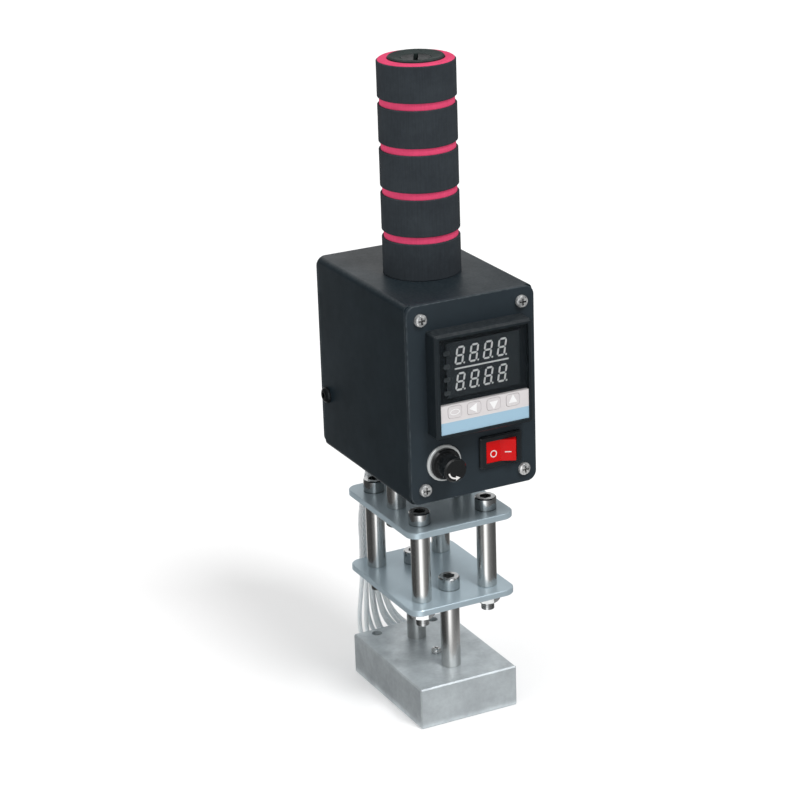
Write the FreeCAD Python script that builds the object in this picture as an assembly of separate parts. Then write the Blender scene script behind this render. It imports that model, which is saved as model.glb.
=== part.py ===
import FreeCAD, Part
import math
import os

from FreeCAD import Placement, Rotation, Vector

# A hand-held hot stamping machine: a heated block on pillars and two plates,
# a control box above them and an upright foam handle on top.
# Origin: centre of the stamping face. +Z is up, the control panel faces -Y.

# Running and assembly clearances
running_gap = 0.06
slip_gap = 0.05
seat_gap = 0.2
screw_hole_gap = 0.2
key_gap = 0.15

# How closely a face's or an edge's place is met when it is picked
pick_tolerance = 1e-5

# Heated block
block_width = 50.0
block_depth = 70.0
block_height = 20.0
block_chamfer = 0.6

# Cartridge heaters lie in bores from the back of the block
heater_diameter = 6.0
heater_length = 60.0
heater_inset = 2.0
heater_height = 9.0
heater_places = (-15.0, -6.5, 6.5, 15.0)
outer_lock_y = 30.0

# Temperature sensor and its clamp screw
sensor_diameter = 3.0
sensor_height = 5.5
sensor_tip_y = -6.0
sensor_screw_y = -2.5

# Lower pillars, between the block and the lower plate
pillar_diameter = 9.0
pillar_edge = 0.25
lower_pillar_length = 36.0
lower_pillar_y = 17.5

# The two equal plates and the spacers between them
plate_width = 54.0
plate_depth = 68.0
plate_thickness = 3.0
plate_corner = 6.0
plate_edge = 0.35
spacer_length = 35.0
spacer_x = 17.0
spacer_y = 23.0

# Upper pillars, between the upper plate and the box
upper_pillar_length = 18.8
upper_pillar_x = 17.0

# M6 socket cap screws and nuts
cap_shank = 6.0
cap_head_diameter = 10.0
cap_head_height = 6.0
cap_socket_width = 5.0
cap_socket_depth = 3.2
cap_head_edge = 0.5
block_thread_depth = 7.0
pillar_screw_grip = 6.0
corner_screw_tip = 4.0
box_screw_tip = 0.0
nut_width = 10.0
nut_height = 5.0
nut_edge = 0.6
nut_edge_width = 1.2
corner_nut_turn = 32.0

# M5 grub screws that lock the outer heaters
grub_diameter = 5.0
grub_length = 6.0
grub_socket_width = 2.5
grub_socket_depth = 2.5

# M3 pan-head screws with a cross recess
pan_shank = 3.0
pan_head_diameter = 5.8
pan_head_height = 2.0
pan_head_round = 1.1
pan_screw_length = 8.0
sensor_screw_head = 4.8
cross_length = 3.2
cross_width = 0.7
cross_depth = 1.1

# Control box: an extruded shell closed by a front and a rear panel
box_depth = 90.0
side_margin = 5.95
top_margin = 12.1
shell_corner = 2.4
panel_corner = 4.5
box_wall = 2.0
box_edge = 0.3
panel_thickness = 2.0
panel_screw_inset = 6.6
boss_diameter = 8.0
boss_length = 12.0

# M4 button-head earth screw low on the left wall, near the back
earth_screw_inset = 6.4
earth_screw_height = 26.5
earth_shank = 4.0
earth_head_diameter = 7.6
earth_head_height = 2.2
earth_head_round = 1.76
earth_socket_width = 2.5
earth_socket_depth = 1.3
earth_screw_length = 10.0
earth_nut_width = 7.0
earth_nut_height = 3.2

# Temperature controller, measured from the box's centre line
controller_x = 1.5
panel_gap = 5.9
bezel_size = 48.0
bezel_lip = 1.7
bezel_depth = 9.0
bezel_corner = 1.5
bezel_chamfer = 1.0
bezel_rim = 2.0
bezel_recess = 2.4
housing_depth = 58.0
housing_wall = 1.6
window_gap = 0.6
window_thickness = 1.2
strip_height = 13.4
strip_lift = 0.5
display_side_margin = 3.8
display_end_margin = 2.3
display_depth = 6.0
key_places = (("key_set", -15.0), ("key_left", -5.5), ("key_down", 4.2), ("key_up", 13.8))
key_drop = 3.5
key_width = 6.6
key_height = 5.4
key_corner = 1.4
key_travel = 0.4
key_proud = 0.1
key_stem = 2.4
circuit_thickness = 1.6
circuit_front_gap = 4.0
key_board_height = 14.0
circuit_spread = 24.0
relay_width = 15.0
relay_depth = 20.0
relay_height = 14.0
terminal_block_depth = 8.0
terminal_rows = 5
terminal_pitch = 7.6
terminal_column_x = 14.0
terminal_screw_diameter = 4.0
terminal_screw_gap = 0.5
terminal_screw_height = 3.0
clamp_width = 1.6
clamp_depth = 8.0

# Rocker switch, measured from the box's centre line and floor
switch_x = 12.9
switch_height = 18.2
switch_bezel_width = 21.0
switch_bezel_height = 15.0
switch_bezel_depth = 1.8
switch_bezel_corner = 1.2
switch_bezel_edge = 0.6
switch_lip = 1.1
switch_body_depth = 14.0
switch_floor = 3.0
switch_end_wall = 1.6
switch_side_wall = 1.2
rocker_side_gap = 0.2
rocker_end_gap = 0.15
rocker_tilt = 14.0
rocker_pivot_depth = 0.6
rocker_press_level = 1.4
rocker_belly = 4.2
rocker_pin_diameter = 2.0
rocker_pin_cover = 0.5
tab_width = 4.8
tab_thickness = 0.8
tab_length = 8.0
tab_spread = 8.0
fuse_tab_spread = 6.0

# Fuse holder, measured from the box's centre line and floor
fuse_x = -15.3
fuse_height = 17.7
fuse_ring_diameter = 16.6
fuse_ring_thickness = 1.2
fuse_ring_edge = 0.4
fuse_flange_diameter = 14.4
fuse_flange_thickness = 1.8
fuse_flange_edge = 0.6
fuse_barrel_diameter = 11.8
fuse_barrel_floor = 1.6
fuse_nut_width = 15.0
fuse_nut_thickness = 3.0
fuse_cap_diameter = 11.0
fuse_cap_length = 8.6
fuse_cap_edge = 0.6
fuse_cap_ribs = 24
fuse_rib_depth = 0.35
fuse_skirt_diameter = 8.8
fuse_skirt_length = 7.0
fuse_link_diameter = 5.2
fuse_link_length = 20.0
fuse_spring_wire = 0.5
fuse_spring_diameter = 4.4
fuse_spring_length = 3.5
fuse_disc_thickness = 0.8

# Handle
tube_diameter = 25.0
tube_wall = 2.0
grip_length = 96.5
grip_diameter = 35.0
groove_depth = 0.9
groove_count = 4
groove_width = 3.1
grip_edge = 1.6
cap_rise = 1.0
cap_rim_thickness = 3.0
cap_plug_length = 10.0
cap_rim_width = 1.1
cap_edge = 0.5
cap_dish_depth = 1.0
cap_knee_reach = 0.8  # share of the dish's radius
cap_knee_depth = 0.45  # share of the dish's depth
plug_length = 12.0
plug_gap = 0.1
handle_screw_diameter = 8.0
handle_head_diameter = 13.0
handle_head_height = 5.0
handle_slot_width = 2.0
handle_slot_depth = 2.2
handle_slot_angle = 62.0
handle_nut_width = 13.0
handle_nut_height = 6.5
handle_washer_diameter = 24.0
handle_washer_thickness = 1.6

# Cord gland in the rear panel
gland_x = 12.0
gland_height = 26.0
gland_thread = 12.0
gland_bore = 6.6
gland_hex_width = 15.0
gland_hex_thickness = 4.0
gland_dome_diameter = 14.0
gland_dome_length = 11.0
gland_dome_round = 2.8
gland_inside_length = 8.0
gland_nut_thickness = 4.0

# Leads from the block to the box, in a braided sleeve behind the plates;
# a bend takes this share of the shorter run beside it
bend_share = 0.45
lead_diameter = 2.1
lead_routes = (
    ((-16.3, 33.0, 9.0), (-16.3, 39.2, 9.0), (-16.0, 45.0, 11.8), (-15.5, 48.1, 16.6),
     (-15.7, 47.4, 23.7), (-16.1, 45.2, 30.5), (-16.6, 42.6, 37.3), (-16.9, 40.6, 44.0),
     (-17.0, 39.8, 51.0), (-17.0, 39.8, 57.0)),
    ((-13.7, 33.0, 9.0), (-13.7, 38.2, 9.0), (-13.5, 42.7, 11.6), (-13.1, 45.3, 16.1),
     (-13.6, 44.5, 23.1), (-14.3, 42.5, 30.1), (-15.2, 40.2, 37.0), (-15.7, 38.2, 44.0),
     (-15.8, 37.4, 51.0), (-15.8, 37.4, 57.0)),
    ((-7.8, 33.0, 9.0), (-7.8, 39.2, 9.0), (-8.5, 45.0, 11.8), (-9.7, 48.1, 16.6), (-11.4, 47.4, 23.7),
     (-12.6, 45.2, 30.5), (-13.7, 42.6, 37.3), (-14.5, 40.6, 44.0), (-14.7, 39.8, 51.0),
     (-14.7, 39.8, 57.0)),
    ((-5.2, 33.0, 9.0), (-5.2, 38.2, 9.0), (-6.0, 42.7, 11.5), (-7.3, 45.3, 16.0), (-9.2, 44.5, 23.0),
     (-10.8, 42.5, 30.1), (-12.3, 40.2, 37.0), (-13.2, 38.2, 44.0), (-13.6, 37.4, 51.0),
     (-13.6, 37.4, 57.0)),
    ((0.0, 33.0, 5.5), (0.0, 39.2, 5.5), (-1.6, 45.0, 7.8), (-4.1, 48.1, 12.8), (-6.6, 47.4, 20.8),
     (-8.6, 45.2, 28.5), (-10.5, 42.6, 35.9), (-11.9, 40.6, 43.3), (-12.4, 39.8, 51.0),
     (-12.4, 39.8, 57.0)),
    ((5.2, 33.0, 9.0), (5.2, 38.2, 9.0), (2.8, 42.7, 10.6), (-0.9, 45.3, 14.6), (-4.8, 44.5, 22.3),
     (-7.2, 42.5, 30.1), (-9.4, 40.2, 37.0), (-10.8, 38.2, 44.0), (-11.2, 37.4, 51.0),
     (-11.2, 37.4, 57.0)),
    ((7.8, 33.0, 9.0), (7.8, 39.2, 9.0), (5.4, 45.0, 10.8), (1.5, 48.1, 15.0), (-2.9, 47.4, 22.8),
     (-5.6, 45.2, 30.5), (-8.0, 42.6, 37.3), (-9.6, 40.6, 44.0), (-10.1, 39.8, 51.0),
     (-10.1, 39.8, 57.0)),
    ((13.7, 33.0, 9.0), (13.7, 38.2, 9.0), (10.3, 42.7, 10.2), (4.9, 45.3, 13.9), (-0.4, 44.5, 21.9),
     (-3.7, 42.5, 30.1), (-6.5, 40.2, 37.0), (-8.4, 38.2, 44.0), (-9.0, 37.4, 51.0),
     (-9.0, 37.4, 57.0)),
    ((16.3, 33.0, 9.0), (16.3, 39.2, 9.0), (12.8, 45.0, 10.4), (7.3, 48.1, 14.4), (1.4, 47.4, 22.5),
     (-2.1, 45.2, 30.5), (-5.1, 42.6, 37.3), (-7.1, 40.6, 44.0), (-7.8, 39.8, 51.0),
     (-7.8, 39.8, 57.0)),
)
sleeve_width = 12.0
sleeve_thickness = 5.0
sleeve_route = ((-12.4, 38.6, 57.0), (-12.4, 38.6, 66.0), (-12.5, 38.7, 76.0), (-11.2, 38.6, 86.0),
                (-9.0, 38.3, 95.0), (-7.4, 37.8, 105.0), (-7.0, 37.2, 115.0), (-7.0, 37.2, 122.8))
grommet_wall = 1.4
grommet_flange = 1.6
grommet_flange_thickness = 1.2

# Terminal strip on the floor of the box
strip_block_width = 36.0
strip_block_depth = 12.0
strip_block_height = 15.0
strip_block_y = 20.0
strip_poles = (-12.0, -4.0, 4.0, 12.0)
strip_hole_depth = 5.0
strip_screw_diameter = 3.4
strip_screw_height = 2.4

# Wires inside the box: fuse to switch, switch and strip to controller,
# and the sleeve's ends to the strip and the controller
wire_diameter = 1.6
wire_routes = (
    ((-15.3, -18.2, 136.5), (-15.3, -13.6, 136.5), (-12.2, -9.4, 137.2), (-6.4, -7.0, 137.8),
     (-1.0, -7.2, 137.6), (4.0, -9.6, 136.6), (8.0, -14.0, 135.0), (8.9, -18.6, 134.0),
     (8.9, -23.0, 134.0)),
    ((16.9, -23.0, 134.0), (16.9, -18.2, 134.0), (17.0, -11.8, 135.8), (16.8, -5.2, 138.6),
     (17.2, 1.6, 141.6), (17.4, 8.6, 144.2), (17.3, 15.2, 147.6), (17.0, 20.8, 152.2),
     (16.2, 23.8, 158.5), (15.7, 23.4, 165.4), (15.5, 18.4, 171.2), (15.5, 12.0, 171.2)),
    ((-7.0, 37.2, 122.8), (-7.0, 37.2, 129.8), (-7.8, 36.8, 137.8), (-9.4, 35.6, 146.8),
     (-11.0, 32.8, 155.4), (-12.7, 28.4, 163.1), (-12.8, 22.8, 169.2), (-12.5, 17.4, 171.4),
     (-12.5, 12.0, 171.4)),
    ((-10.5, 37.2, 122.8), (-10.5, 37.2, 127.3), (-10.9, 33.8, 130.6), (-12.0, 29.2, 130.6),
     (-12.0, 26.0, 130.6)),
    ((-3.5, 37.2, 122.8), (-3.5, 37.2, 127.3), (-3.6, 33.8, 130.6), (-4.0, 29.2, 130.6),
     (-4.0, 26.0, 130.6)),
    ((4.0, 14.0, 130.6), (4.0, 10.0, 130.6), (4.8, 6.4, 133.2), (6.6, 5.4, 137.8), (9.2, 8.2, 142.0),
     (12.0, 13.2, 145.4), (14.0, 19.0, 149.2), (13.8, 24.0, 155.2), (13.0, 25.4, 162.2),
     (13.2, 24.6, 169.5), (14.6, 20.8, 175.8), (15.5, 16.4, 179.0), (15.5, 12.0, 179.0)),
)

# Sizes that follow from those above
clear_shank = cap_shank + 2 * screw_hole_gap
pillar_bore = clear_shank
pillar_screw_length = lower_pillar_length + plate_thickness + pillar_screw_grip
corner_screw_length = spacer_length + 2 * plate_thickness + nut_height + corner_screw_tip
box_screw_length = plate_thickness + upper_pillar_length + box_wall + nut_height + box_screw_tip
box_width = 2 * (controller_x + bezel_size / 2 + side_margin)
controller_height = switch_height + switch_bezel_height / 2 + panel_gap + bezel_size / 2
box_height = controller_height + bezel_size / 2 + top_margin
housing_size = bezel_size - 2 * bezel_lip
bezel_room = bezel_size - 2 * bezel_rim
window_width = bezel_room - 2 * seat_gap
window_height = window_width - strip_height - window_gap
display_width = window_width - 2 * display_side_margin
display_height = window_height - 2 * display_end_margin
circuit_depth = housing_depth - terminal_block_depth - circuit_front_gap
relay_setback = circuit_depth / 4
switch_body_width = switch_bezel_width - 2 * switch_lip
switch_body_height = switch_bezel_height - 2 * switch_lip
rocker_opening = switch_body_width - 2 * switch_end_wall
rocker_slot_height = switch_body_height - 2 * switch_side_wall
rocker_face_height = rocker_slot_height - 2 * rocker_side_gap
fuse_pocket_height = fuse_cap_length / 2
groove_diameter = grip_diameter - 2 * groove_depth
strip_screw_spread = strip_block_depth / 2
earth_screw_y = box_depth / 2 - earth_screw_inset

# Heights of the stack
lower_plate_z = block_height + lower_pillar_length
lower_plate_top = lower_plate_z + plate_thickness
upper_plate_z = lower_plate_top + spacer_length
upper_plate_top = upper_plate_z + plate_thickness
box_floor_z = upper_plate_top + upper_pillar_length
box_top_z = box_floor_z + box_height
inner_floor_z = box_floor_z + box_wall
grip_top_z = box_top_z + grip_length
front_y = -box_depth / 2
shell_length = box_depth - 2 * panel_thickness
heater_back_y = block_depth / 2 - heater_inset


def export(name, shape):
    """Writes one sub-part; a list becomes a group of separate solids."""
    if isinstance(shape, (list, tuple)):
        shape = Part.makeCompound(list(shape))
    shape.exportStep("parts/" + name + ".step")


def rod(diameter, length, base=(0, 0, 0), axis=(0, 0, 1)):
    return Part.makeCylinder(diameter / 2, length, Vector(*base), Vector(*axis))


def pipe(outer, inner, length, base=(0, 0, 0), axis=(0, 0, 1)):
    return rod(outer, length, base, axis).cut(rod(inner, length, base, axis))


def brick(size_x, size_y, size_z, centre=(0, 0), bottom=0.0):
    corner = Vector(centre[0] - size_x / 2, centre[1] - size_y / 2, bottom)
    return Part.makeBox(size_x, size_y, size_z, corner)


def upright_edges(shape):
    chosen = []
    for edge in shape.Edges:
        run = edge.Vertexes[-1].Point - edge.Vertexes[0].Point
        if max(abs(run.x), abs(run.y)) < pick_tolerance < abs(run.z):
            chosen.append(edge)
    return chosen


def level_edges(shape, height, reach=None):
    """Edges that lie at one height, out to a given distance from the axis."""
    chosen = []
    for edge in shape.Edges:
        box = edge.BoundBox
        if max(abs(box.ZMin - height), abs(box.ZMax - height)) > pick_tolerance:
            continue
        far = max(abs(box.XMin), abs(box.XMax), abs(box.YMin), abs(box.YMax))
        if reach is None or far > reach:
            chosen.append(edge)
    return chosen


def rounded_prism(size_x, size_y, height, radius, centre=(0, 0), bottom=0.0):
    body = brick(size_x, size_y, height, (0, 0), 0.0)
    body = body.makeFillet(radius, upright_edges(body))
    body.translate(Vector(centre[0], centre[1], bottom))
    return body


def slot_prism(length, width, height, centre=(0, 0), bottom=0.0):
    """An upright prism with straight sides and round ends, long in X."""
    reach = (length - width) / 2
    base = Vector(centre[0], centre[1], bottom)
    corners = (Vector(-reach, -width / 2, 0), Vector(reach, -width / 2, 0),
               Vector(reach, width / 2, 0), Vector(-reach, width / 2, 0))
    right = Part.Arc(corners[1], Vector(reach + width / 2, 0, 0), corners[2]).toShape()
    left = Part.Arc(corners[3], Vector(-reach - width / 2, 0, 0), corners[0]).toShape()
    near = Part.makeLine(corners[0], corners[1])
    far = Part.makeLine(corners[2], corners[3])
    body = Part.Face(Part.Wire([near, right, far, left])).extrude(Vector(0, 0, height))
    body.translate(base)
    return body


def hexagon(width, height, bottom=0.0):
    radius = width / math.sqrt(3)
    points = []
    for step in range(7):
        angle = math.radians(60 * step)
        points.append(Vector(radius * math.cos(angle), radius * math.sin(angle), bottom))
    return Part.Face(Part.makePolygon(points)).extrude(Vector(0, 0, height))


def turned(points):
    """A solid turned round the Z axis from (radius, height) points."""
    profile = Part.makePolygon([Vector(r, 0, z) for r, z in points + points[:1]])
    return Part.Face(profile).revolve(Vector(0, 0, 0), Vector(0, 0, 1), 360)


def placed(shape, rotation, offset):
    copy = shape.copy()
    copy.Placement = Placement(Vector(*offset), rotation).multiply(copy.Placement)
    return copy


def moved(shape, offset):
    return placed(shape, Rotation(), offset)


def facing_front(shape, x, z, y=front_y):
    """Local +Z points out of the front panel, local +Y points up."""
    return placed(shape, Rotation(Vector(1, 0, 0), 90), (x, y, z))


def facing_rear(shape, x, z, y):
    return placed(shape, Rotation(Vector(1, 0, 0), -90), (x, y, z))


def facing_left(shape, x, y, z):
    return placed(shape, Rotation(Vector(0, 1, 0), -90), (x, y, z))


def facing_down(shape, offset):
    return placed(shape, Rotation(Vector(1, 0, 0), 180), offset)


def cap_screw(length):
    """An M6 socket cap screw; the head stands on Z = 0 and the shank hangs below."""
    head = rod(cap_head_diameter, cap_head_height)
    head = head.makeChamfer(cap_head_edge, level_edges(head, cap_head_height))
    screw = head.fuse(rod(cap_shank, length, (0, 0, -length)))
    socket = hexagon(cap_socket_width, cap_socket_depth, cap_head_height - cap_socket_depth)
    return screw.cut(socket)


def hex_nut(width, height, bore):
    nut = hexagon(width, height)
    reach = width / 2 + nut_edge_width
    cone = turned([(0, -width), (width / 2, 0), (reach, nut_edge), (reach, height - nut_edge),
                   (width / 2, height), (0, height + width)])
    return nut.common(cone).cut(rod(bore, height))


def pan_screw(length, head_diameter=pan_head_diameter):
    """An M3 pan-head screw with a cross recess; the head stands on Z = 0."""
    head = rod(head_diameter, pan_head_height)
    head = head.makeFillet(pan_head_round, level_edges(head, pan_head_height))
    screw = head.fuse(rod(pan_shank, length, (0, 0, -length)))
    floor = pan_head_height - cross_depth
    for size in ((cross_length, cross_width), (cross_width, cross_length)):
        screw = screw.cut(brick(size[0], size[1], cross_depth, (0, 0), floor))
    return screw


def socket_screw(shank, length, head_diameter, head_height, head_round, socket_width,
                 socket_depth):
    """A button-head screw with a hexagon socket; the head stands on Z = 0."""
    head = rod(head_diameter, head_height)
    head = head.makeFillet(head_round, level_edges(head, head_height))
    screw = head.fuse(rod(shank, length, (0, 0, -length)))
    return screw.cut(hexagon(socket_width, socket_depth, head_height - socket_depth))


def route_wire(points):
    """Straight runs joined by tangent arcs, and the smallest arc radius."""
    spots = [Vector(*point) for point in points]
    edges = []
    start = spots[0]
    smallest = math.inf
    for before, corner, after in zip(spots, spots[1:], spots[2:]):
        incoming = (corner - before).normalize()
        outgoing = (after - corner).normalize()
        half_turn = incoming.getAngle(outgoing) / 2
        run = min((corner - before).Length, (after - corner).Length)
        bend = bend_share * run
        radius = bend / math.tan(half_turn)
        smallest = min(smallest, radius)
        enter = corner - incoming * bend
        leave = corner + outgoing * bend
        inward = (outgoing - incoming).normalize()
        middle = corner + inward * (radius / math.cos(half_turn) - radius)
        edges.append(Part.makeLine(start, enter))
        edges.append(Part.Arc(enter, middle, leave).toShape())
        start = leave
    edges.append(Part.makeLine(start, spots[-1]))
    return Part.Wire(edges), smallest


def cord(points, diameter, label):
    """A round cord along a route; prints its radius and a check of its volume."""
    path, smallest = route_wire(points)
    first = (Vector(*points[1]) - Vector(*points[0])).normalize()
    ring = Part.Wire([Part.makeCircle(diameter / 2, Vector(*points[0]), first)])
    solid = path.makePipeShell([ring], True, False)
    expected = math.pi * diameter ** 2 / 4 * path.Length
    report = "%s: smallest radius %.1f, volume %.4f of section times length"
    print(report % (label, smallest, solid.Volume / expected))
    return solid


# The heated block and what it holds

def heating_block():
    block = brick(block_width, block_depth, block_height)
    block = block.makeChamfer(block_chamfer, block.Edges)
    heater_hole = heater_diameter + 2 * slip_gap
    for place in heater_places:
        base = (place, block_depth / 2, heater_height)
        block = block.cut(rod(heater_hole, heater_length + heater_inset, base, (0, -1, 0)))
    sensor_run = block_depth / 2 - sensor_tip_y
    sensor_base = (0, block_depth / 2, sensor_height)
    block = block.cut(rod(sensor_diameter + 2 * slip_gap, sensor_run, sensor_base, (0, -1, 0)))
    for side in (-1, 1):
        floor = block_height - block_thread_depth
        thread = rod(cap_shank + 2 * slip_gap, block_thread_depth, (0, side * lower_pillar_y, floor))
        block = block.cut(thread)
        lock_depth = block_height - heater_height
        lock_base = (side * heater_places[-1], outer_lock_y, heater_height)
        block = block.cut(rod(grub_diameter + 2 * slip_gap, lock_depth, lock_base))
    clamp_base = (0, sensor_screw_y, sensor_height)
    clamp_hole = rod(pan_shank + 2 * slip_gap, block_height - sensor_height, clamp_base)
    return block.cut(clamp_hole)


def cartridge_heaters():
    heaters = []
    for place in heater_places:
        base = (place, heater_back_y, heater_height)
        heater = rod(heater_diameter, heater_length, base, (0, -1, 0))
        heaters.append(heater)
    return heaters


def heater_grub_screws():
    screws = []
    bottom = heater_height + heater_diameter / 2 + slip_gap
    for side in (-1, 1):
        screw = rod(grub_diameter, grub_length)
        socket = hexagon(grub_socket_width, grub_socket_depth, grub_length - grub_socket_depth)
        screws.append(moved(screw.cut(socket), (side * heater_places[-1], outer_lock_y, bottom)))
    return screws


def sensor_probe():
    length = heater_back_y - sensor_tip_y - slip_gap
    return rod(sensor_diameter, length, (0, heater_back_y, sensor_height), (0, -1, 0))


def sensor_clamp_screw():
    length = block_height - sensor_height - sensor_diameter / 2 - slip_gap
    return moved(pan_screw(length, sensor_screw_head), (0, sensor_screw_y, block_height))


# Pillars, spacers, plates and their screws

def pillar(length, x, y, bottom):
    body = pipe(pillar_diameter, pillar_bore, length)
    wall_middle = (pillar_bore + pillar_diameter) / 4
    rims = level_edges(body, 0.0, wall_middle) + level_edges(body, length, wall_middle)
    return moved(body.makeChamfer(pillar_edge, rims), (x, y, bottom))


def frame_plate(bottom, middle_holes):
    plate = rounded_prism(plate_width, plate_depth, plate_thickness, plate_corner)
    rims = level_edges(plate, plate_thickness) + level_edges(plate, 0.0)
    plate = plate.makeChamfer(plate_edge, rims)
    corners = [(sx * spacer_x, sy * spacer_y) for sx in (-1, 1) for sy in (-1, 1)]
    for x, y in corners + middle_holes:
        plate = plate.cut(rod(clear_shank, plate_thickness, (x, y, 0)))
    return moved(plate, (0, 0, bottom))


def corner_fasteners():
    screws = []
    nuts = []
    nut = hex_nut(nut_width, nut_height, cap_shank + 2 * slip_gap)
    screw = cap_screw(corner_screw_length)
    for sx in (-1, 1):
        for sy in (-1, 1):
            screws.append(moved(screw, (sx * spacer_x, sy * spacer_y, upper_plate_top)))
            nuts.append(placed(nut, Rotation(Vector(0, 0, 1), corner_nut_turn),
                               (sx * spacer_x, sy * spacer_y, lower_plate_z - nut_height)))
    return screws, nuts


def lower_pillar_screws():
    screw = cap_screw(pillar_screw_length)
    return [moved(screw, (0, side * lower_pillar_y, lower_plate_top)) for side in (-1, 1)]


def upper_pillar_fasteners():
    screw = cap_screw(box_screw_length)
    nut = hex_nut(nut_width, nut_height, cap_shank + 2 * slip_gap)
    screws = [facing_down(screw, (side * upper_pillar_x, 0, upper_plate_z)) for side in (-1, 1)]
    nuts = [moved(nut, (side * upper_pillar_x, 0, inner_floor_z)) for side in (-1, 1)]
    return screws, nuts


# The control box

def panel_screw_places():
    reach_x = box_width / 2 - panel_screw_inset
    reach_z = box_height / 2 - panel_screw_inset
    middle = box_floor_z + box_height / 2
    return [(sx * reach_x, middle + sz * reach_z) for sx in (-1, 1) for sz in (-1, 1)]


def box_shell():
    middle = box_height / 2
    outer = rounded_prism(box_width, box_height, shell_length, shell_corner)
    inner = rounded_prism(box_width - 2 * box_wall, box_height - 2 * box_wall, shell_length,
                          shell_corner - box_wall)
    shell = outer.cut(inner)
    for x, z in panel_screw_places():
        y = z - box_floor_z - middle
        outward = (x + math.copysign(panel_screw_inset / 2, x),
                   y + math.copysign(panel_screw_inset / 2, y))
        post = rod(boss_diameter, shell_length, (x, y, 0))
        post = post.fuse(brick(panel_screw_inset, panel_screw_inset, shell_length, outward))
        wide = 2 * boss_diameter
        post = post.cut(brick(wide, wide, shell_length - 2 * boss_length, (x, y), boss_length))
        shell = shell.fuse(post.common(outer))
        shell = shell.cut(rod(pan_shank + 2 * slip_gap, shell_length, (x, y, 0)))
    shell = facing_front(shell.removeSplitter(), 0, box_floor_z + middle, shell_length / 2)
    for side in (-1, 1):
        shell = shell.cut(rod(clear_shank, box_wall, (side * upper_pillar_x, 0, box_floor_z)))
    screw_hole = handle_screw_diameter + 2 * screw_hole_gap
    shell = shell.cut(rod(screw_hole, box_wall, (0, 0, box_top_z - box_wall)))
    entry = (sleeve_route[-1][0], sleeve_route[-1][1])
    neck = slot_prism(sleeve_width + 2 * grommet_wall, sleeve_thickness + 2 * grommet_wall,
                      box_wall, entry, box_floor_z)
    shell = shell.cut(neck)
    earth_base = (-box_width / 2, earth_screw_y, box_floor_z + earth_screw_height)
    return shell.cut(rod(earth_shank + 2 * slip_gap, box_wall, earth_base, (1, 0, 0)))


def blank_panel():
    """A panel in its own plane: X across, Y up from the box's floor, Z outwards."""
    panel = rounded_prism(box_width, box_height, panel_thickness, panel_corner,
                          (0, box_height / 2), 0.0)
    panel = panel.makeChamfer(box_edge, level_edges(panel, panel_thickness))
    hole_diameter = pan_shank + 2 * screw_hole_gap
    for x, z in panel_screw_places():
        panel = panel.cut(rod(hole_diameter, panel_thickness, (x, z - box_floor_z, 0)))
    return panel


def front_panel():
    panel = blank_panel()
    opening = housing_size + 2 * seat_gap
    panel = panel.cut(brick(opening, opening, panel_thickness, (controller_x, controller_height)))
    switch_opening = (switch_body_width + 2 * seat_gap, switch_body_height + 2 * seat_gap)
    panel = panel.cut(brick(switch_opening[0], switch_opening[1], panel_thickness,
                            (switch_x, switch_height)))
    barrel_hole = fuse_barrel_diameter + 2 * seat_gap
    panel = panel.cut(rod(barrel_hole, panel_thickness, (fuse_x, fuse_height, 0)))
    return facing_front(panel, 0, box_floor_z, front_y + panel_thickness)


def rear_panel():
    panel = blank_panel()
    panel = panel.cut(rod(gland_thread + 2 * seat_gap, panel_thickness, (-gland_x, gland_height, 0)))
    upright = placed(panel, Rotation(Vector(1, 0, 0), 90), (0, 0, 0))
    back = box_depth / 2 - panel_thickness
    return placed(upright, Rotation(Vector(0, 0, 1), 180), (0, back, box_floor_z))


def panel_screws():
    screw = pan_screw(pan_screw_length)
    screws = []
    for x, z in panel_screw_places():
        screws.append(facing_front(screw, x, z))
        screws.append(facing_rear(screw, x, z, box_depth / 2))
    return screws


def earth_fasteners():
    screw = socket_screw(earth_shank, earth_screw_length, earth_head_diameter, earth_head_height,
                         earth_head_round, earth_socket_width, earth_socket_depth)
    height = box_floor_z + earth_screw_height
    nut = hex_nut(earth_nut_width, earth_nut_height, earth_shank + 2 * slip_gap)
    inner_face = -box_width / 2 + box_wall + earth_nut_height
    return (facing_left(screw, -box_width / 2, earth_screw_y, height),
            facing_left(nut, inner_face, earth_screw_y, height))


# The temperature controller; local Z = 0 is the face of the panel

def on_controller(shape):
    return facing_front(shape, controller_x, box_floor_z + controller_height)


def window_centre_y():
    return bezel_room / 2 - seat_gap - window_height / 2


def strip_centre_y():
    return -bezel_room / 2 + seat_gap + strip_height / 2


def key_centre_y():
    return strip_centre_y() + strip_height / 2 - key_drop


def controller_bezel():
    bezel = rounded_prism(bezel_size, bezel_size, bezel_depth, bezel_corner)
    bezel = bezel.makeChamfer(bezel_chamfer, level_edges(bezel, bezel_depth))
    recess = brick(bezel_room, bezel_room, bezel_recess, (0, 0), bezel_depth - bezel_recess)
    bezel = bezel.cut(recess)
    opening_width = display_width + 2 * seat_gap
    opening_height = display_height + 2 * seat_gap
    opening = brick(opening_width, opening_height, bezel_depth, (0, window_centre_y()))
    bezel = bezel.cut(opening)
    for _, place in key_places:
        shaft = rod(key_stem + 2 * key_gap, bezel_depth, (place, key_centre_y(), 0))
        bezel = bezel.cut(shaft)
    return bezel


def controller_housing():
    length = housing_depth
    body = rounded_prism(housing_size, housing_size, length, bezel_corner, (0, 0), -length)
    room = housing_size - 2 * housing_wall
    return body.cut(brick(room, room, length, (0, 0), -length))


def display_window():
    centre = (0, window_centre_y())
    return brick(window_width, window_height, window_thickness, centre, bezel_depth - window_thickness)


def display_module():
    top = bezel_depth - window_thickness - seat_gap
    centre = (0, window_centre_y())
    return brick(display_width, display_height, display_depth, centre, top - display_depth)


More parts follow.
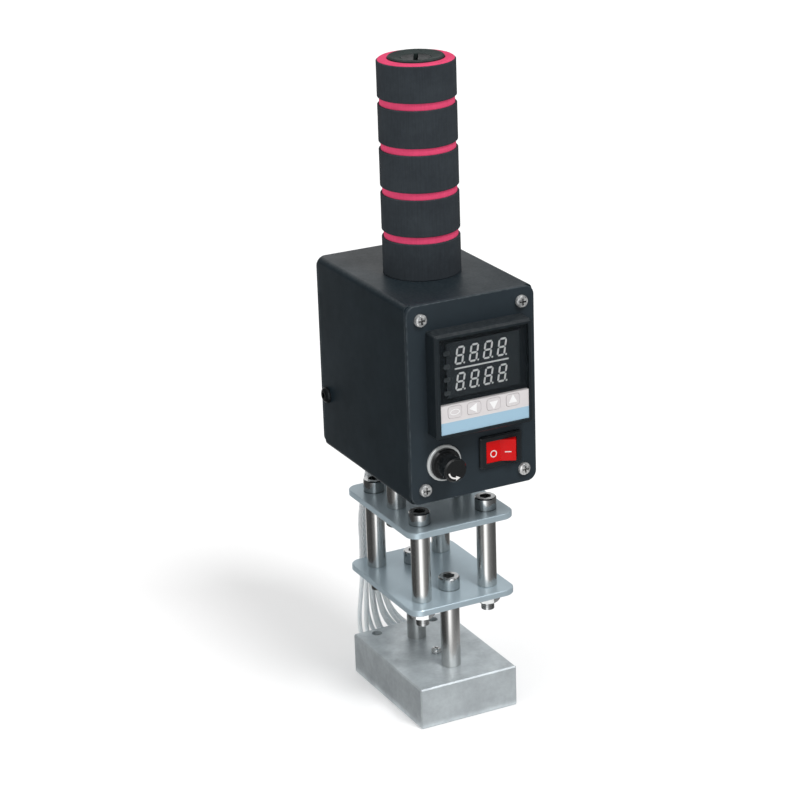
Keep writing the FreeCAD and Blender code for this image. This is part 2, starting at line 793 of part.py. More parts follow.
def key_strip():
    bottom = bezel_depth - bezel_recess
    height = bezel_recess - strip_lift
    strip = brick(window_width, strip_height, height, (0, strip_centre_y()), bottom)
    for _, place in key_places:
        strip = strip.cut(rounded_prism(key_width + 2 * key_gap, key_height + 2 * key_gap, height,
                                        key_corner + key_gap, (place, key_centre_y()), bottom))
    return strip


def key(place):
    """A soft key: its pad fills the hole in the strip and its stem reaches the switch."""
    floor = bezel_depth - bezel_recess + key_travel + running_gap
    top = bezel_depth - strip_lift + key_proud
    centre = (place, key_centre_y())
    pad = rounded_prism(key_width, key_height, top - floor, key_corner, centre, floor)
    return pad.fuse(rod(key_stem, floor + key_travel, (*centre, -key_travel)))


def controller_circuit():
    """Two circuit boards on edge, the key board across their front, and the relay."""
    inner = housing_size - 2 * housing_wall - 2 * seat_gap
    back = -housing_depth + terminal_block_depth
    boards = []
    for side in (-1, 1):
        x = side * circuit_spread / 2
        boards.append(brick(circuit_thickness, inner, circuit_depth, (x, 0), back))
    relay_x = circuit_spread / 2 - circuit_thickness / 2 - relay_width / 2
    relay_bottom = back + relay_setback
    relay_centre = (relay_x, relay_height / 2)
    boards.append(brick(relay_width, relay_height, relay_depth, relay_centre, relay_bottom))
    key_board_top = -2 * key_travel - running_gap
    key_board_y = -inner / 2 + key_board_height / 2
    boards.append(brick(inner, key_board_height, circuit_thickness, (0, key_board_y),
                        key_board_top - circuit_thickness))
    return boards


def terminal_places():
    places = []
    for column in (-1, 1):
        for row in range(terminal_rows):
            offset = (row - (terminal_rows - 1) / 2) * terminal_pitch
            places.append((column * terminal_column_x, offset))
    return places


def controller_terminals():
    size = housing_size - 2 * housing_wall - 2 * slip_gap
    body = brick(size, size, terminal_block_depth, (0, 0), -housing_depth)
    for x, y in terminal_places():
        mouth = terminal_screw_diameter + 2 * terminal_screw_gap
        pocket = rod(mouth, terminal_block_depth / 2, (x, y, -housing_depth))
        body = body.cut(pocket)
    return body


def controller_terminal_screws():
    screws = []
    floor = -housing_depth + terminal_block_depth / 2
    for x, y in terminal_places():
        base = floor - terminal_screw_height
        screw = rod(terminal_screw_diameter, terminal_screw_height, (x, y, base))
        slot = brick(terminal_screw_diameter, cross_width, cross_depth, (x, y), base)
        screws.append(screw.cut(slot))
    return screws


def controller_clamp():
    inner = housing_size + 2 * slip_gap
    outer = inner + 2 * clamp_width
    back = -panel_thickness - clamp_depth
    frame = brick(outer, outer, clamp_depth, (0, 0), back)
    return frame.cut(brick(inner, inner, clamp_depth, (0, 0), back))


# The rocker switch; local Z = 0 is the face of the panel

def on_switch(shape):
    return facing_front(shape, switch_x, box_floor_z + switch_height)


def switch_housing():
    bezel = rounded_prism(switch_bezel_width, switch_bezel_height, switch_bezel_depth,
                          switch_bezel_corner)
    bezel = bezel.makeChamfer(switch_bezel_edge, level_edges(bezel, switch_bezel_depth))
    body = brick(switch_body_width, switch_body_height, switch_body_depth, (0, 0), -switch_body_depth)
    housing = bezel.fuse(body)
    depth = switch_body_depth - switch_floor + switch_bezel_depth
    cavity = brick(rocker_opening, rocker_slot_height, depth, (0, 0),
                   -switch_body_depth + switch_floor)
    housing = housing.cut(cavity)
    for side in (-1, 1):
        x = side * tab_spread / 2
        slot = brick(tab_thickness, tab_width, switch_floor, (x, 0), -switch_body_depth)
        housing = housing.cut(slot)
    return housing.cut(rocker_pin())


def rocker_pin():
    reach = switch_body_height - 2 * rocker_pin_cover
    return rod(rocker_pin_diameter, reach, (0, -reach / 2, -rocker_pivot_depth), (0, 1, 0))


def rocker():
    """The rocker at rest, its left end pressed in: a belly round the pivot, a V-shaped face."""
    radius = rocker_opening / 2 - rocker_end_gap
    tilt = math.radians(rocker_tilt)
    pressed = math.asin((rocker_press_level + rocker_pivot_depth) / radius)
    corner = pressed + tilt
    low = -math.asin(rocker_belly / radius)

    def rim(angle, side):
        return Vector(side * radius * math.cos(angle), 0, radius * math.sin(angle) - rocker_pivot_depth)

    ridge = rim(corner, 1)
    valley = Vector(0, 0, ridge.z - ridge.x * math.tan(tilt))
    right_side = Part.Arc(rim(corner, 1), rim((corner + low) / 2, 1), rim(low, 1)).toShape()
    left_side = Part.Arc(rim(low, -1), rim((corner + low) / 2, -1), rim(corner, -1)).toShape()
    outline = Part.Wire([right_side, Part.makeLine(rim(low, 1), rim(low, -1)), left_side,
                         Part.makeLine(rim(corner, -1), valley), Part.makeLine(valley, rim(corner, 1))])
    body = Part.Face(outline).extrude(Vector(0, rocker_face_height, 0))
    body.translate(Vector(0, -rocker_face_height / 2, 0))
    bore = rod(rocker_pin_diameter + 2 * running_gap, rocker_face_height,
               (0, -rocker_face_height / 2, -rocker_pivot_depth), (0, 1, 0))
    body = body.cut(bore)
    body.rotate(Vector(0, 0, -rocker_pivot_depth), Vector(0, 1, 0), -rocker_tilt)
    return body


def switch_tabs():
    tabs = []
    for side in (-1, 1):
        x = side * tab_spread / 2
        length = switch_floor + tab_length
        tabs.append(brick(tab_thickness, tab_width, length, (x, 0), -switch_body_depth - tab_length))
    return tabs


# The fuse holder; local Z = 0 is the face of the panel

def on_fuse(shape):
    return facing_front(shape, fuse_x, box_floor_z + fuse_height)


def flange_top():
    return fuse_ring_thickness + fuse_flange_thickness


def fuse_link_bottom():
    """The glass fuse's lower end; its upper end sits in the cap's pocket."""
    pocket_top = flange_top() + running_gap + fuse_pocket_height
    return pocket_top - slip_gap - fuse_link_length


def fuse_floor():
    """The barrel's floor, under the fuse, its spring and the contact disc."""
    return fuse_link_bottom() - seat_gap - fuse_spring_length - fuse_disc_thickness


def fuse_ring():
    ring = pipe(fuse_ring_diameter, fuse_barrel_diameter + 2 * seat_gap, fuse_ring_thickness)
    outside = fuse_barrel_diameter / 2 + 2 * seat_gap
    return ring.makeChamfer(fuse_ring_edge, level_edges(ring, fuse_ring_thickness, outside))


def fuse_body():
    flange = rod(fuse_flange_diameter, fuse_flange_thickness, (0, 0, fuse_ring_thickness))
    flange = flange.makeChamfer(fuse_flange_edge, level_edges(flange, flange_top()))
    barrel_end = fuse_floor() - fuse_barrel_floor
    barrel = rod(fuse_barrel_diameter, fuse_ring_thickness - barrel_end, (0, 0, barrel_end))
    bore = rod(fuse_skirt_diameter + 2 * running_gap, flange_top() - fuse_floor(), (0, 0, fuse_floor()))
    return flange.fuse(barrel).cut(bore)


def fuse_nut():
    nut = hex_nut(fuse_nut_width, fuse_nut_thickness, fuse_barrel_diameter + 2 * slip_gap)
    return moved(nut, (0, 0, -panel_thickness - fuse_nut_thickness))


def fuse_contacts():
    """The end contact on the floor of the barrel with its spring, and the two tabs behind."""
    disc = rod(fuse_link_diameter, fuse_disc_thickness, (0, 0, fuse_floor()))
    spring = pipe(fuse_spring_diameter, fuse_spring_diameter - 2 * fuse_spring_wire,
                  fuse_spring_length, (0, 0, fuse_floor() + fuse_disc_thickness))
    outside = fuse_floor() - fuse_barrel_floor
    contacts = [disc, spring]
    for side in (-1, 1):
        y = side * fuse_tab_spread / 2
        contacts.append(brick(tab_width, tab_thickness, tab_length, (0, y), outside - tab_length))
    return contacts


def fuse_cap():
    bottom = flange_top() + running_gap
    head = rod(fuse_cap_diameter, fuse_cap_length)
    head = head.makeChamfer(fuse_cap_edge, level_edges(head, fuse_cap_length))
    for rib in range(fuse_cap_ribs):
        angle = 2 * math.pi * rib / fuse_cap_ribs
        reach = fuse_cap_diameter / 2 + fuse_rib_depth / 2
        groove = rod(2 * fuse_rib_depth, fuse_cap_length - 2 * fuse_cap_edge,
                     (reach * math.cos(angle), reach * math.sin(angle), fuse_cap_edge))
        head = head.cut(groove)
    skirt = rod(fuse_skirt_diameter, fuse_skirt_length, (0, 0, -fuse_skirt_length))
    cap = head.fuse(skirt)
    pocket_depth = fuse_skirt_length + fuse_pocket_height
    pocket = rod(fuse_link_diameter + 2 * running_gap, pocket_depth, (0, 0, -fuse_skirt_length))
    return moved(cap.cut(pocket), (0, 0, bottom))


def fuse_link():
    return rod(fuse_link_diameter, fuse_link_length, (0, 0, fuse_link_bottom()))


# The handle

def handle_tube():
    return pipe(tube_diameter, tube_diameter - 2 * tube_wall, grip_length - cap_rim_thickness + cap_rise,
                (0, 0, box_top_z))


def band_length():
    return (grip_length - groove_count * groove_width) / (groove_count + 1)


def grip_core():
    return pipe(groove_diameter, tube_diameter, grip_length, (0, 0, box_top_z))


def grip_bands():
    bands = []
    for index in range(groove_count + 1):
        band = rod(grip_diameter, band_length())
        if index == groove_count:
            band = band.makeFillet(grip_edge, level_edges(band, band_length()))
        band = band.cut(rod(groove_diameter, band_length()))
        bottom = box_top_z + index * (band_length() + groove_width)
        bands.append(moved(band, (0, 0, bottom)))
    return bands


def cap_top_z():
    return grip_top_z + cap_rise


def handle_cap():
    bore = tube_diameter - 2 * tube_wall - 2 * plug_gap
    rim_bottom = cap_rim_thickness
    plug_bottom = rim_bottom + cap_plug_length
    outer = tube_diameter / 2
    dish = outer - cap_rim_width
    points = [(0, -plug_bottom), (bore / 2, -plug_bottom), (bore / 2, -rim_bottom),
              (outer, -rim_bottom), (outer, -cap_edge), (outer - cap_edge, 0), (dish, 0),
              (dish * cap_knee_reach, -cap_dish_depth * cap_knee_depth),
              (handle_head_diameter / 2, -cap_dish_depth), (0, -cap_dish_depth)]
    cap = turned(points)
    head_room = cap_dish_depth + handle_head_height
    pocket = rod(handle_head_diameter + 2 * seat_gap, head_room, (0, 0, -head_room))
    hole = rod(handle_screw_diameter + 2 * screw_hole_gap, plug_bottom, (0, 0, -plug_bottom))
    return moved(cap.cut(pocket).cut(hole), (0, 0, cap_top_z()))


def handle_plug():
    bore = tube_diameter - 2 * tube_wall - 2 * plug_gap
    return pipe(bore, handle_screw_diameter + 2 * screw_hole_gap, plug_length, (0, 0, box_top_z))


def handle_nut_z():
    return box_top_z - box_wall - handle_washer_thickness - handle_nut_height


def handle_screw():
    head_bottom = cap_top_z() - cap_dish_depth - handle_head_height
    tip = handle_nut_z() - slip_gap
    head = rod(handle_head_diameter, handle_head_height)
    slot_floor = handle_head_height - handle_slot_depth
    slot = brick(handle_head_diameter, handle_slot_width, handle_slot_depth, (0, 0), slot_floor)
    slot.rotate(Vector(0, 0, 0), Vector(0, 0, 1), handle_slot_angle)
    shank = rod(handle_screw_diameter, head_bottom - tip, (0, 0, tip - head_bottom))
    return moved(head.cut(slot).fuse(shank), (0, 0, head_bottom))


def handle_washer():
    bottom = box_top_z - box_wall - handle_washer_thickness
    return pipe(handle_washer_diameter, handle_screw_diameter + 2 * screw_hole_gap,
                handle_washer_thickness, (0, 0, bottom))


def handle_nut():
    nut = hex_nut(handle_nut_width, handle_nut_height, handle_screw_diameter + 2 * slip_gap)
    return moved(nut, (0, 0, handle_nut_z()))


# The cord gland

def gland():
    body = rod(gland_thread, gland_inside_length + panel_thickness,
               (0, 0, -gland_inside_length - panel_thickness))
    body = body.fuse(hexagon(gland_hex_width, gland_hex_thickness))
    dome = rod(gland_dome_diameter, gland_dome_length, (0, 0, gland_hex_thickness))
    top = gland_hex_thickness + gland_dome_length
    dome = dome.makeFillet(gland_dome_round, level_edges(dome, top))
    body = body.fuse(dome)
    length = top + gland_inside_length + panel_thickness
    bore = rod(gland_bore, length, (0, 0, -gland_inside_length - panel_thickness))
    return facing_rear(body.cut(bore), gland_x, box_floor_z + gland_height, box_depth / 2)


def gland_nut():
    nut = hex_nut(gland_hex_width, gland_nut_thickness, gland_thread + 2 * slip_gap)
    y = box_depth / 2 - panel_thickness - gland_nut_thickness
    return facing_rear(nut, gland_x, box_floor_z + gland_height, y)


# Leads, sleeve and grommet

def leads():
    return [cord(route, lead_diameter, "lead %d" % index) for index, route in enumerate(lead_routes)]


def lead_sleeve():
    path, smallest = route_wire(sleeve_route)
    start = sleeve_route[0]
    base = slot_prism(sleeve_width, sleeve_thickness, sleeve_thickness, start[:2], start[2])
    bottom = [face for face in base.Faces
              if abs(face.CenterOfMass.z - start[2]) < pick_tolerance][0]
    sleeve = path.makePipeShell([bottom.OuterWire], True, False)
    expected = bottom.Area * path.Length
    report = "sleeve: smallest radius %.1f, volume %.4f of section times length"
    print(report % (smallest, sleeve.Volume / expected))
    return sleeve


def lead_grommet():
    centre = (sleeve_route[-1][0], sleeve_route[-1][1])
    wide = sleeve_width + 2 * grommet_wall
    deep = sleeve_thickness + 2 * grommet_wall
    bottom = box_floor_z - grommet_flange_thickness
    height = box_wall + 2 * grommet_flange_thickness
    body = slot_prism(wide, deep, height, centre, bottom)
    for level in (bottom, box_floor_z + box_wall):
        flange = slot_prism(wide + 2 * grommet_flange, deep + 2 * grommet_flange,
                            grommet_flange_thickness, centre, level)
        body = body.fuse(flange)
    opening = slot_prism(sleeve_width + 2 * seat_gap, sleeve_thickness + 2 * seat_gap, height,
                         centre, bottom)
    return body.cut(opening)


# What else the box holds

def terminal_strip():
    strip = brick(strip_block_width, strip_block_depth, strip_block_height, (0, strip_block_y),
                  inner_floor_z)
    top = inner_floor_z + strip_block_height
    for pole in strip_poles:
        for side in (-1, 1):
            y = strip_block_y + side * strip_screw_spread / 2
            base = (pole, y, top - strip_hole_depth)
            strip = strip.cut(rod(strip_screw_diameter + 2 * slip_gap, strip_hole_depth, base))
    return strip


def terminal_strip_screws():
    screws = []
    bottom = inner_floor_z + strip_block_height - strip_hole_depth
    for pole in strip_poles:
        for side in (-1, 1):
            y = strip_block_y + side * strip_screw_spread / 2
            screw = rod(strip_screw_diameter, strip_screw_height, (pole, y, bottom))
            slot = brick(strip_screw_diameter, cross_width, cross_depth, (pole, y),
                         bottom + strip_screw_height - cross_depth)
            screws.append(screw.cut(slot))
    return screws


def inner_wires():
    return [cord(route, wire_diameter, "wire %d" % index) for index, route in enumerate(wire_routes)]


def main():
    os.makedirs("parts", exist_ok=True)

    export("heating_block", heating_block())
    export("cartridge_heaters", cartridge_heaters())
    export("sensor_probe", sensor_probe())
    export("block_screws", heater_grub_screws() + [sensor_clamp_screw()])

    for name, side in (("front", -1), ("rear", 1)):
        export("lower_pillar_" + name, pillar(lower_pillar_length, 0, side * lower_pillar_y, block_height))
    export("lower_plate", frame_plate(lower_plate_z, [(0, -lower_pillar_y), (0, lower_pillar_y)]))
    export("lower_pillar_screws", lower_pillar_screws())
    for end, sy in (("front", -1), ("rear", 1)):
        for hand, sx in (("left", -1), ("right", 1)):
            post = pillar(spacer_length, sx * spacer_x, sy * spacer_y, lower_plate_top)
            export("spacer_" + end + "_" + hand, post)
    export("upper_plate", frame_plate(upper_plate_z, [(-upper_pillar_x, 0), (upper_pillar_x, 0)]))
    corner_screws, corner_nuts = corner_fasteners()
    export("corner_screws", corner_screws)
    for hand, side in (("left", -1), ("right", 1)):
        post = pillar(upper_pillar_length, side * upper_pillar_x, 0, upper_plate_top)
        export("upper_pillar_" + hand, post)
    box_screws, box_nuts = upper_pillar_fasteners()
    export("upper_pillar_screws", box_screws)
    export("hex_nuts", corner_nuts + box_nuts)

    export("box_shell", box_shell())
    export("front_panel", front_panel())
    export("rear_panel", rear_panel())
    export("panel_screws", panel_screws())
    earth_screw, earth_nut = earth_fasteners()
    export("earth_screw", earth_screw)
    export("earth_nut", earth_nut)

    export("controller_bezel", on_controller(controller_bezel()))
    export("controller_housing", on_controller(controller_housing()))
    export("display_window", on_controller(display_window()))
    export("display_module", on_controller(display_module()))
    export("key_strip", on_controller(key_strip()))
    for name, place in key_places:
        export(name, on_controller(key(place)))
    export("controller_circuit", [on_controller(board) for board in controller_circuit()])
    export("controller_terminals", on_controller(controller_terminals()))
    terminal_screws = [on_controller(screw) for screw in controller_terminal_screws()]
    export("terminal_screws", terminal_screws + terminal_strip_screws())
    export("controller_clamp", on_controller(controller_clamp()))

    export("switch_housing", on_switch(switch_housing()))
    export("switch_rocker", on_switch(rocker()))
    export("rocker_pin", on_switch(rocker_pin()))

    export("fuse_ring", on_fuse(fuse_ring()))
    export("fuse_body", on_fuse(fuse_body()))
    export("fuse_nut", on_fuse(fuse_nut()))
    contacts = [on_fuse(contact) for contact in fuse_contacts()]
    export("electrical_contacts", contacts + [on_switch(tab) for tab in switch_tabs()])
    export("fuse_cap", on_fuse(fuse_cap()))
    export("fuse_link", on_fuse(fuse_link()))

    export("handle_tube", handle_tube())
    export("grip_core", grip_core())
    export("grip_bands", grip_bands())
    export("handle_cap", handle_cap())
    export("handle_plug", handle_plug())
    export("handle_screw", handle_screw())
    export("handle_fasteners", [handle_washer(), handle_nut()])

    export("cord_gland", gland())
    export("gland_nut", gland_nut())
    export("block_leads", leads())
    export("lead_sleeve", lead_sleeve())
    export("lead_grommet", lead_grommet())
    export("terminal_strip", terminal_strip())
    export("inner_wires", inner_wires())


main()
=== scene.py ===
"""A hand-held hot stamping machine: its looks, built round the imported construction.

Lengths are in metres. The stamping face is centred on the origin, +Z is up and
the control panel faces -Y.
"""
import logging
import math
from abc import ABC, abstractmethod
from collections.abc import Mapping, Sequence
from dataclasses import dataclass
from enum import Enum
from functools import cache
from typing import Any, ClassVar

import bmesh
import bpy
from mathutils import Matrix, Vector


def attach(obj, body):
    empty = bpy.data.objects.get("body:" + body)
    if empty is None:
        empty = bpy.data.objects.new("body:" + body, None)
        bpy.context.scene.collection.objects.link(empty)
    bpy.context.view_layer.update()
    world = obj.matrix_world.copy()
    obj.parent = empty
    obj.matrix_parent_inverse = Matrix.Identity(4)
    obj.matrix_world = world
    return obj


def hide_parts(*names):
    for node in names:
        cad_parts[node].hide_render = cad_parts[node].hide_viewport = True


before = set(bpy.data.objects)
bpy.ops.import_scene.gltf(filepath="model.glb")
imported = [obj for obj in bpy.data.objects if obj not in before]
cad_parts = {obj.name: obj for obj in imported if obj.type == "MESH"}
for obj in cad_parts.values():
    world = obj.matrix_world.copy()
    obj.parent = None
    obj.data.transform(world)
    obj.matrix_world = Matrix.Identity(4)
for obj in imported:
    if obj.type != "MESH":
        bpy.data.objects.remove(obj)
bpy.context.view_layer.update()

log = logging.getLogger("stamping_machine")

MM = 0.001
PRINT_THICKNESS = 0.05 * MM
MERGE_DISTANCE = 1e-7
SHARP_ANGLE = 40.0

Colour = tuple[float, float, float]
Point = tuple[float, float, float]
Pair = tuple[float, float]


class Body(Enum):
    """The bodies of the construction that a piece can ride on."""

    MACHINE = "machine"
    ROCKER = "rocker"
    SET_KEY = "set_key"
    LEFT_KEY = "left_key"
    DOWN_KEY = "down_key"
    UP_KEY = "up_key"
    FUSE_CAP = "fuse_cap"


class SocketKind(Enum):
    """The kinds of named input and output that the node trees have."""

    VALUE = "NodeSocketFloat"
    COUNT = "NodeSocketInt"
    VECTOR = "NodeSocketVector"
    SHAPE = "NodeSocketGeometry"
    MATERIAL = "NodeSocketMaterial"


def shade(red: int, green: int, blue: int) -> Colour:
    """Gives the linear colour of an eight-bit screen colour, by the sRGB curve.

    Args:
        red: Red, 0 to 255.
        green: Green, 0 to 255.
        blue: Blue, 0 to 255.

    Returns:
        The three linear components.
    """
    linear = []
    for value in (red, green, blue):
        part = value / 255
        linear.append(part / 12.92 if part <= 0.04045 else ((part + 0.055) / 1.055) ** 2.4)
    return linear[0], linear[1], linear[2]


class Graph:
    """Writes a node tree as calls: each adds one node and fills its inputs."""

    def __init__(self, tree: bpy.types.NodeTree) -> None:
        """Starts on a tree, which keeps the nodes that it has."""
        self.tree = tree

    def add(self, kind: str, inputs: Mapping[int | str, Any] | None = None,
            **settings: Any) -> bpy.types.Node:
        """Adds a node.

        Args:
            kind: Blender's name for the node.
            inputs: What its inputs get, by number or name: a value or a socket.
            **settings: The node's own settings.

        Returns:
            The node.
        """
        node = self.tree.nodes.new(kind)
        for name, value in settings.items():
            setattr(node, name, value)
        for key, value in (inputs or {}).items():
            self.fill(node.inputs[key], value)
        return node

    def fill(self, socket: bpy.types.NodeSocket, value: Any) -> None:
        """Joins a socket to another, or sets it to a plain value.

        Args:
            socket: The input.
            value: An output socket, a number, a vector or a colour.
        """
        if isinstance(value, bpy.types.NodeSocket):
            self.tree.links.new(value, socket)
        elif socket.type == "RGBA" and len(value) == 3:
            socket.default_value = (*value, 1.0)
        else:
            socket.default_value = value

    def place_group(self, group: bpy.types.NodeTree, inputs: Mapping[str, Any]) -> bpy.types.Node:
        """Adds a shared effect with its own values."""
        node = self.add("ShaderNodeGroup", node_tree=group)
        for name, value in inputs.items():
            self.fill(node.inputs[name], value)
        return node

    def math(self, operation: str, *values: Any) -> bpy.types.NodeSocket:
        """Adds a sum on numbers and gives its result."""
        return self.add("ShaderNodeMath", dict(enumerate(values)), operation=operation).outputs[0]

    def plus(self, first: Any, second: Any) -> bpy.types.NodeSocket:
        """Adds two numbers."""
        return self.math("ADD", first, second)

    def minus(self, first: Any, second: Any) -> bpy.types.NodeSocket:
        """Takes the second number from the first."""
        return self.math("SUBTRACT", first, second)

    def times(self, first: Any, second: Any) -> bpy.types.NodeSocket:
        """Multiplies two numbers."""
        return self.math("MULTIPLY", first, second)

    def vector(self, x: Any, y: Any, z: Any) -> bpy.types.NodeSocket:
        """Puts three numbers together."""
        return self.add("ShaderNodeCombineXYZ", {0: x, 1: y, 2: z}).outputs[0]

    def split(self, vector: Any) -> bpy.types.NodeOutputs:
        """Takes a vector apart into three numbers."""
        return self.add("ShaderNodeSeparateXYZ", {0: vector}).outputs

    def position(self) -> bpy.types.NodeOutputs:
        """Gives the place of each point of a shape as three numbers."""
        return self.split(self.add("GeometryNodeInputPosition").outputs[0])

    def blend(self, share: Any, first: Any, second: Any) -> bpy.types.NodeSocket:
        """Turns the first colour into the second by a share."""
        node = self.add("ShaderNodeMix", {0: share, 6: first, 7: second}, data_type="RGBA")
        return node.outputs[2]

    def remap(self, value: Any, low: float, high: float, to_low: Any = 0.0,
              to_high: Any = 1.0) -> bpy.types.NodeSocket:
        """Takes a number from one range to another, and holds it at the ends."""
        inputs = {0: value, 1: low, 2: high, 3: to_low, 4: to_high}
        return self.add("ShaderNodeMapRange", inputs).outputs[0]

    def noise(self, vector: Any, scale: Any, detail: float = 3.0) -> bpy.types.NodeSocket:
        """Adds plain noise and gives its value."""
        inputs = {"Vector": vector, "Scale": scale, "Detail": detail}
        return self.add("ShaderNodeTexNoise", inputs).outputs[0]

    def shared(self, first: Any, second: Any, share: float) -> bpy.types.NodeSocket:
        """Adds two numbers, of which the first counts by the given share."""
        return self.plus(self.times(first, share), self.times(second, 1.0 - share))

    def layered_noise(self, vector: Any, scale: Any, finer: float, details: Pair,
                      share: float) -> bpy.types.NodeSocket:
        """Adds two layers of noise.

        Args:
            vector: Where both are read.
            scale: The first layer's scale.
            finer: How many times finer the second layer is.
            details: The detail of each layer.
            share: The first layer's share.

        Returns:
            The value of both together.
        """
        broad = self.noise(vector, scale, details[0])
        fine = self.noise(vector, self.times(scale, finer), details[1])
        return self.shared(broad, fine, share)

    def deliver(self, output: bpy.types.NodeSocket, shape: bpy.types.NodeSocket,
                material: bpy.types.NodeSocket) -> None:
        """Sends a shape out of a tree, with its copies made real and a material on it.

        Args:
            output: The tree's output.
            shape: The shape.
            material: The material.
        """
        realized = self.add("GeometryNodeRealizeInstances", {0: shape})
        painted = self.add("GeometryNodeSetMaterial", {
            "Geometry": realized.outputs[0], "Material": material,
        })
        self.fill(output, painted.outputs[0])


Given = SocketKind | float | int | Point
NewTree = tuple[Graph, bpy.types.NodeOutputs, bpy.types.NodeInputs]

KIND_OF_START = {float: SocketKind.VALUE, int: SocketKind.COUNT, tuple: SocketKind.VECTOR}


def new_tree(name: str, family: str, inputs: Mapping[str, Given],
             outputs: Mapping[str, SocketKind]) -> NewTree:
    """Makes a node group with named inputs and outputs.

    Args:
        name: The group's name.
        family: ShaderNodeTree or GeometryNodeTree.
        inputs: The inputs, in order: the value that each starts from, or its kind alone.
        outputs: The outputs, in order.

    Returns:
        The graph, the sockets that bring the inputs in, and those that take
        the outputs.
    """
    tree = bpy.data.node_groups.new(name, family)
    for label, start in inputs.items():
        kind = KIND_OF_START.get(type(start), start)
        made = tree.interface.new_socket(name=label, in_out="INPUT", socket_type=kind.value)
        if kind is not start:
            made.default_value = start
    for label, kind in outputs.items():
        tree.interface.new_socket(name=label, in_out="OUTPUT", socket_type=kind.value)
    graph = Graph(tree)
    return graph, graph.add("NodeGroupInput").outputs, graph.add("NodeGroupOutput").inputs


def new_material(name: str) -> tuple[bpy.types.Material, Graph]:
    """Makes a material with an empty tree, and the graph that writes it."""
    material = bpy.data.materials.new(name)
    material.use_nodes = True
    material.node_tree.nodes.clear()
    return material, Graph(material.node_tree)


# Effects that several finishes share. A span says where a mask starts and where it is full.

EDGE_SPAN = (0.995, 0.86)
# Patchiness of the edge mask, which paints rubbing and an edge highlight together
WEAR_AND_HIGHLIGHT_SPAN = (0.35, 0.62)
FACING_UP_SPAN = (0.2, 1.0)
FLECK_SPAN = (0.36, 0.75)
SHUT_IN_SPAN = (0.92, 0.45)
CLOUD_SPREAD = 3.0


def effect(name: str, inputs: Mapping[str, Given], output: str) -> NewTree:
    """Starts a shader group with one output."""
    return new_tree(name, "ShaderNodeTree", inputs, {output: SocketKind.VALUE})


@cache
def edge_wear_and_highlight() -> bpy.types.NodeTree:
    """Makes the mask of lightened edges, for rubbing and a painted highlight: 1 where the surface turns,
    broken up by noise.
    """
    graph, given, result = effect("edge_wear_and_highlight", {
        "Vector": SocketKind.VECTOR,
        "Radius": 0.4 * MM,
        "Scale": 400.0,
        "Amount": 0.5,
    }, "Mask")
    rounded = graph.add("ShaderNodeBevel", {"Radius": given["Radius"]}, samples=4)
    flat = graph.add("ShaderNodeNewGeometry").outputs["Normal"]
    turn = graph.add("ShaderNodeVectorMath", {0: rounded.outputs[0], 1: flat},
                     operation="DOT_PRODUCT").outputs["Value"]
    edge = graph.remap(turn, *EDGE_SPAN)
    patchy = graph.remap(graph.noise(given["Vector"], given["Scale"]), *WEAR_AND_HIGHLIGHT_SPAN)
    worn_and_lit = graph.times(edge, patchy)
    graph.fill(result["Mask"], graph.times(worn_and_lit, given["Amount"]))
    return graph.tree


@cache
def clouding() -> bpy.types.NodeTree:
    """Makes the slow, uneven change of tone across a surface."""
    graph, given, result = effect("clouding", {
        "Vector": SocketKind.VECTOR,
        "Scale": 120.0,
        "Contrast": 1.0,
    }, "Value")
    mixed = graph.layered_noise(given["Vector"], given["Scale"], finer=5.3, details=(4.0, 2.0),
                                share=0.7)
    spread = graph.times(graph.minus(mixed, 0.5), given["Contrast"])
    even = graph.plus(graph.times(spread, CLOUD_SPREAD), 0.5)
    graph.fill(result["Value"], graph.math("MINIMUM", graph.math("MAXIMUM", even, 0.0), 1.0))
    return graph.tree


@cache
def fine_grain() -> bpy.types.NodeTree:
    """Makes fine relief: grain where the stretch is even, brushing where it is long."""
    graph, given, result = effect("fine_grain", {
        "Vector": SocketKind.VECTOR,
        "Stretch": (1.0, 1.0, 1.0),
        "Scale": 2500.0,
    }, "Height")
    drawn = graph.add("ShaderNodeVectorMath", {0: given["Vector"], 1: given["Stretch"]},
                      operation="MULTIPLY").outputs[0]
    graph.fill(result["Height"], graph.layered_noise(drawn, given["Scale"], finer=3.1,
                                                     details=(2.0, 1.0), share=0.65))
    return graph.tree


@cache
def settled_dust_and_top_light() -> bpy.types.NodeTree:
    """Makes the mask of flecks on what faces up: settled dusting, and painted light from above."""
    graph, given, result = effect("settled_dust_and_top_light", {
        "Vector": SocketKind.VECTOR,
        "Scale": 900.0,
        "Amount": 0.2,
    }, "Mask")
    upward = graph.split(graph.add("ShaderNodeNewGeometry").outputs["Normal"])[2]
    lying = graph.remap(upward, *FACING_UP_SPAN)
    speckled = graph.noise(given["Vector"], given["Scale"], detail=6.0)
    flecks = graph.remap(speckled, *FLECK_SPAN)
    graph.fill(result["Mask"], graph.times(graph.times(lying, flecks), given["Amount"]))
    return graph.tree


@cache
def cavity_recess_shade() -> bpy.types.NodeTree:
    """Makes the mask of painted shade in recesses and inner corners, from how shut in they are."""
    graph, given, result = effect("cavity_recess_shade", {
        "Reach": 0.8 * MM,
        "Amount": 0.5,
    }, "Mask")
    open_sky = graph.add("ShaderNodeAmbientOcclusion", {"Distance": given["Reach"]}, samples=8)
    shut = graph.remap(open_sky.outputs["AO"], *SHUT_IN_SPAN)
    graph.fill(result["Mask"], graph.times(shut, given["Amount"]))
    return graph.tree


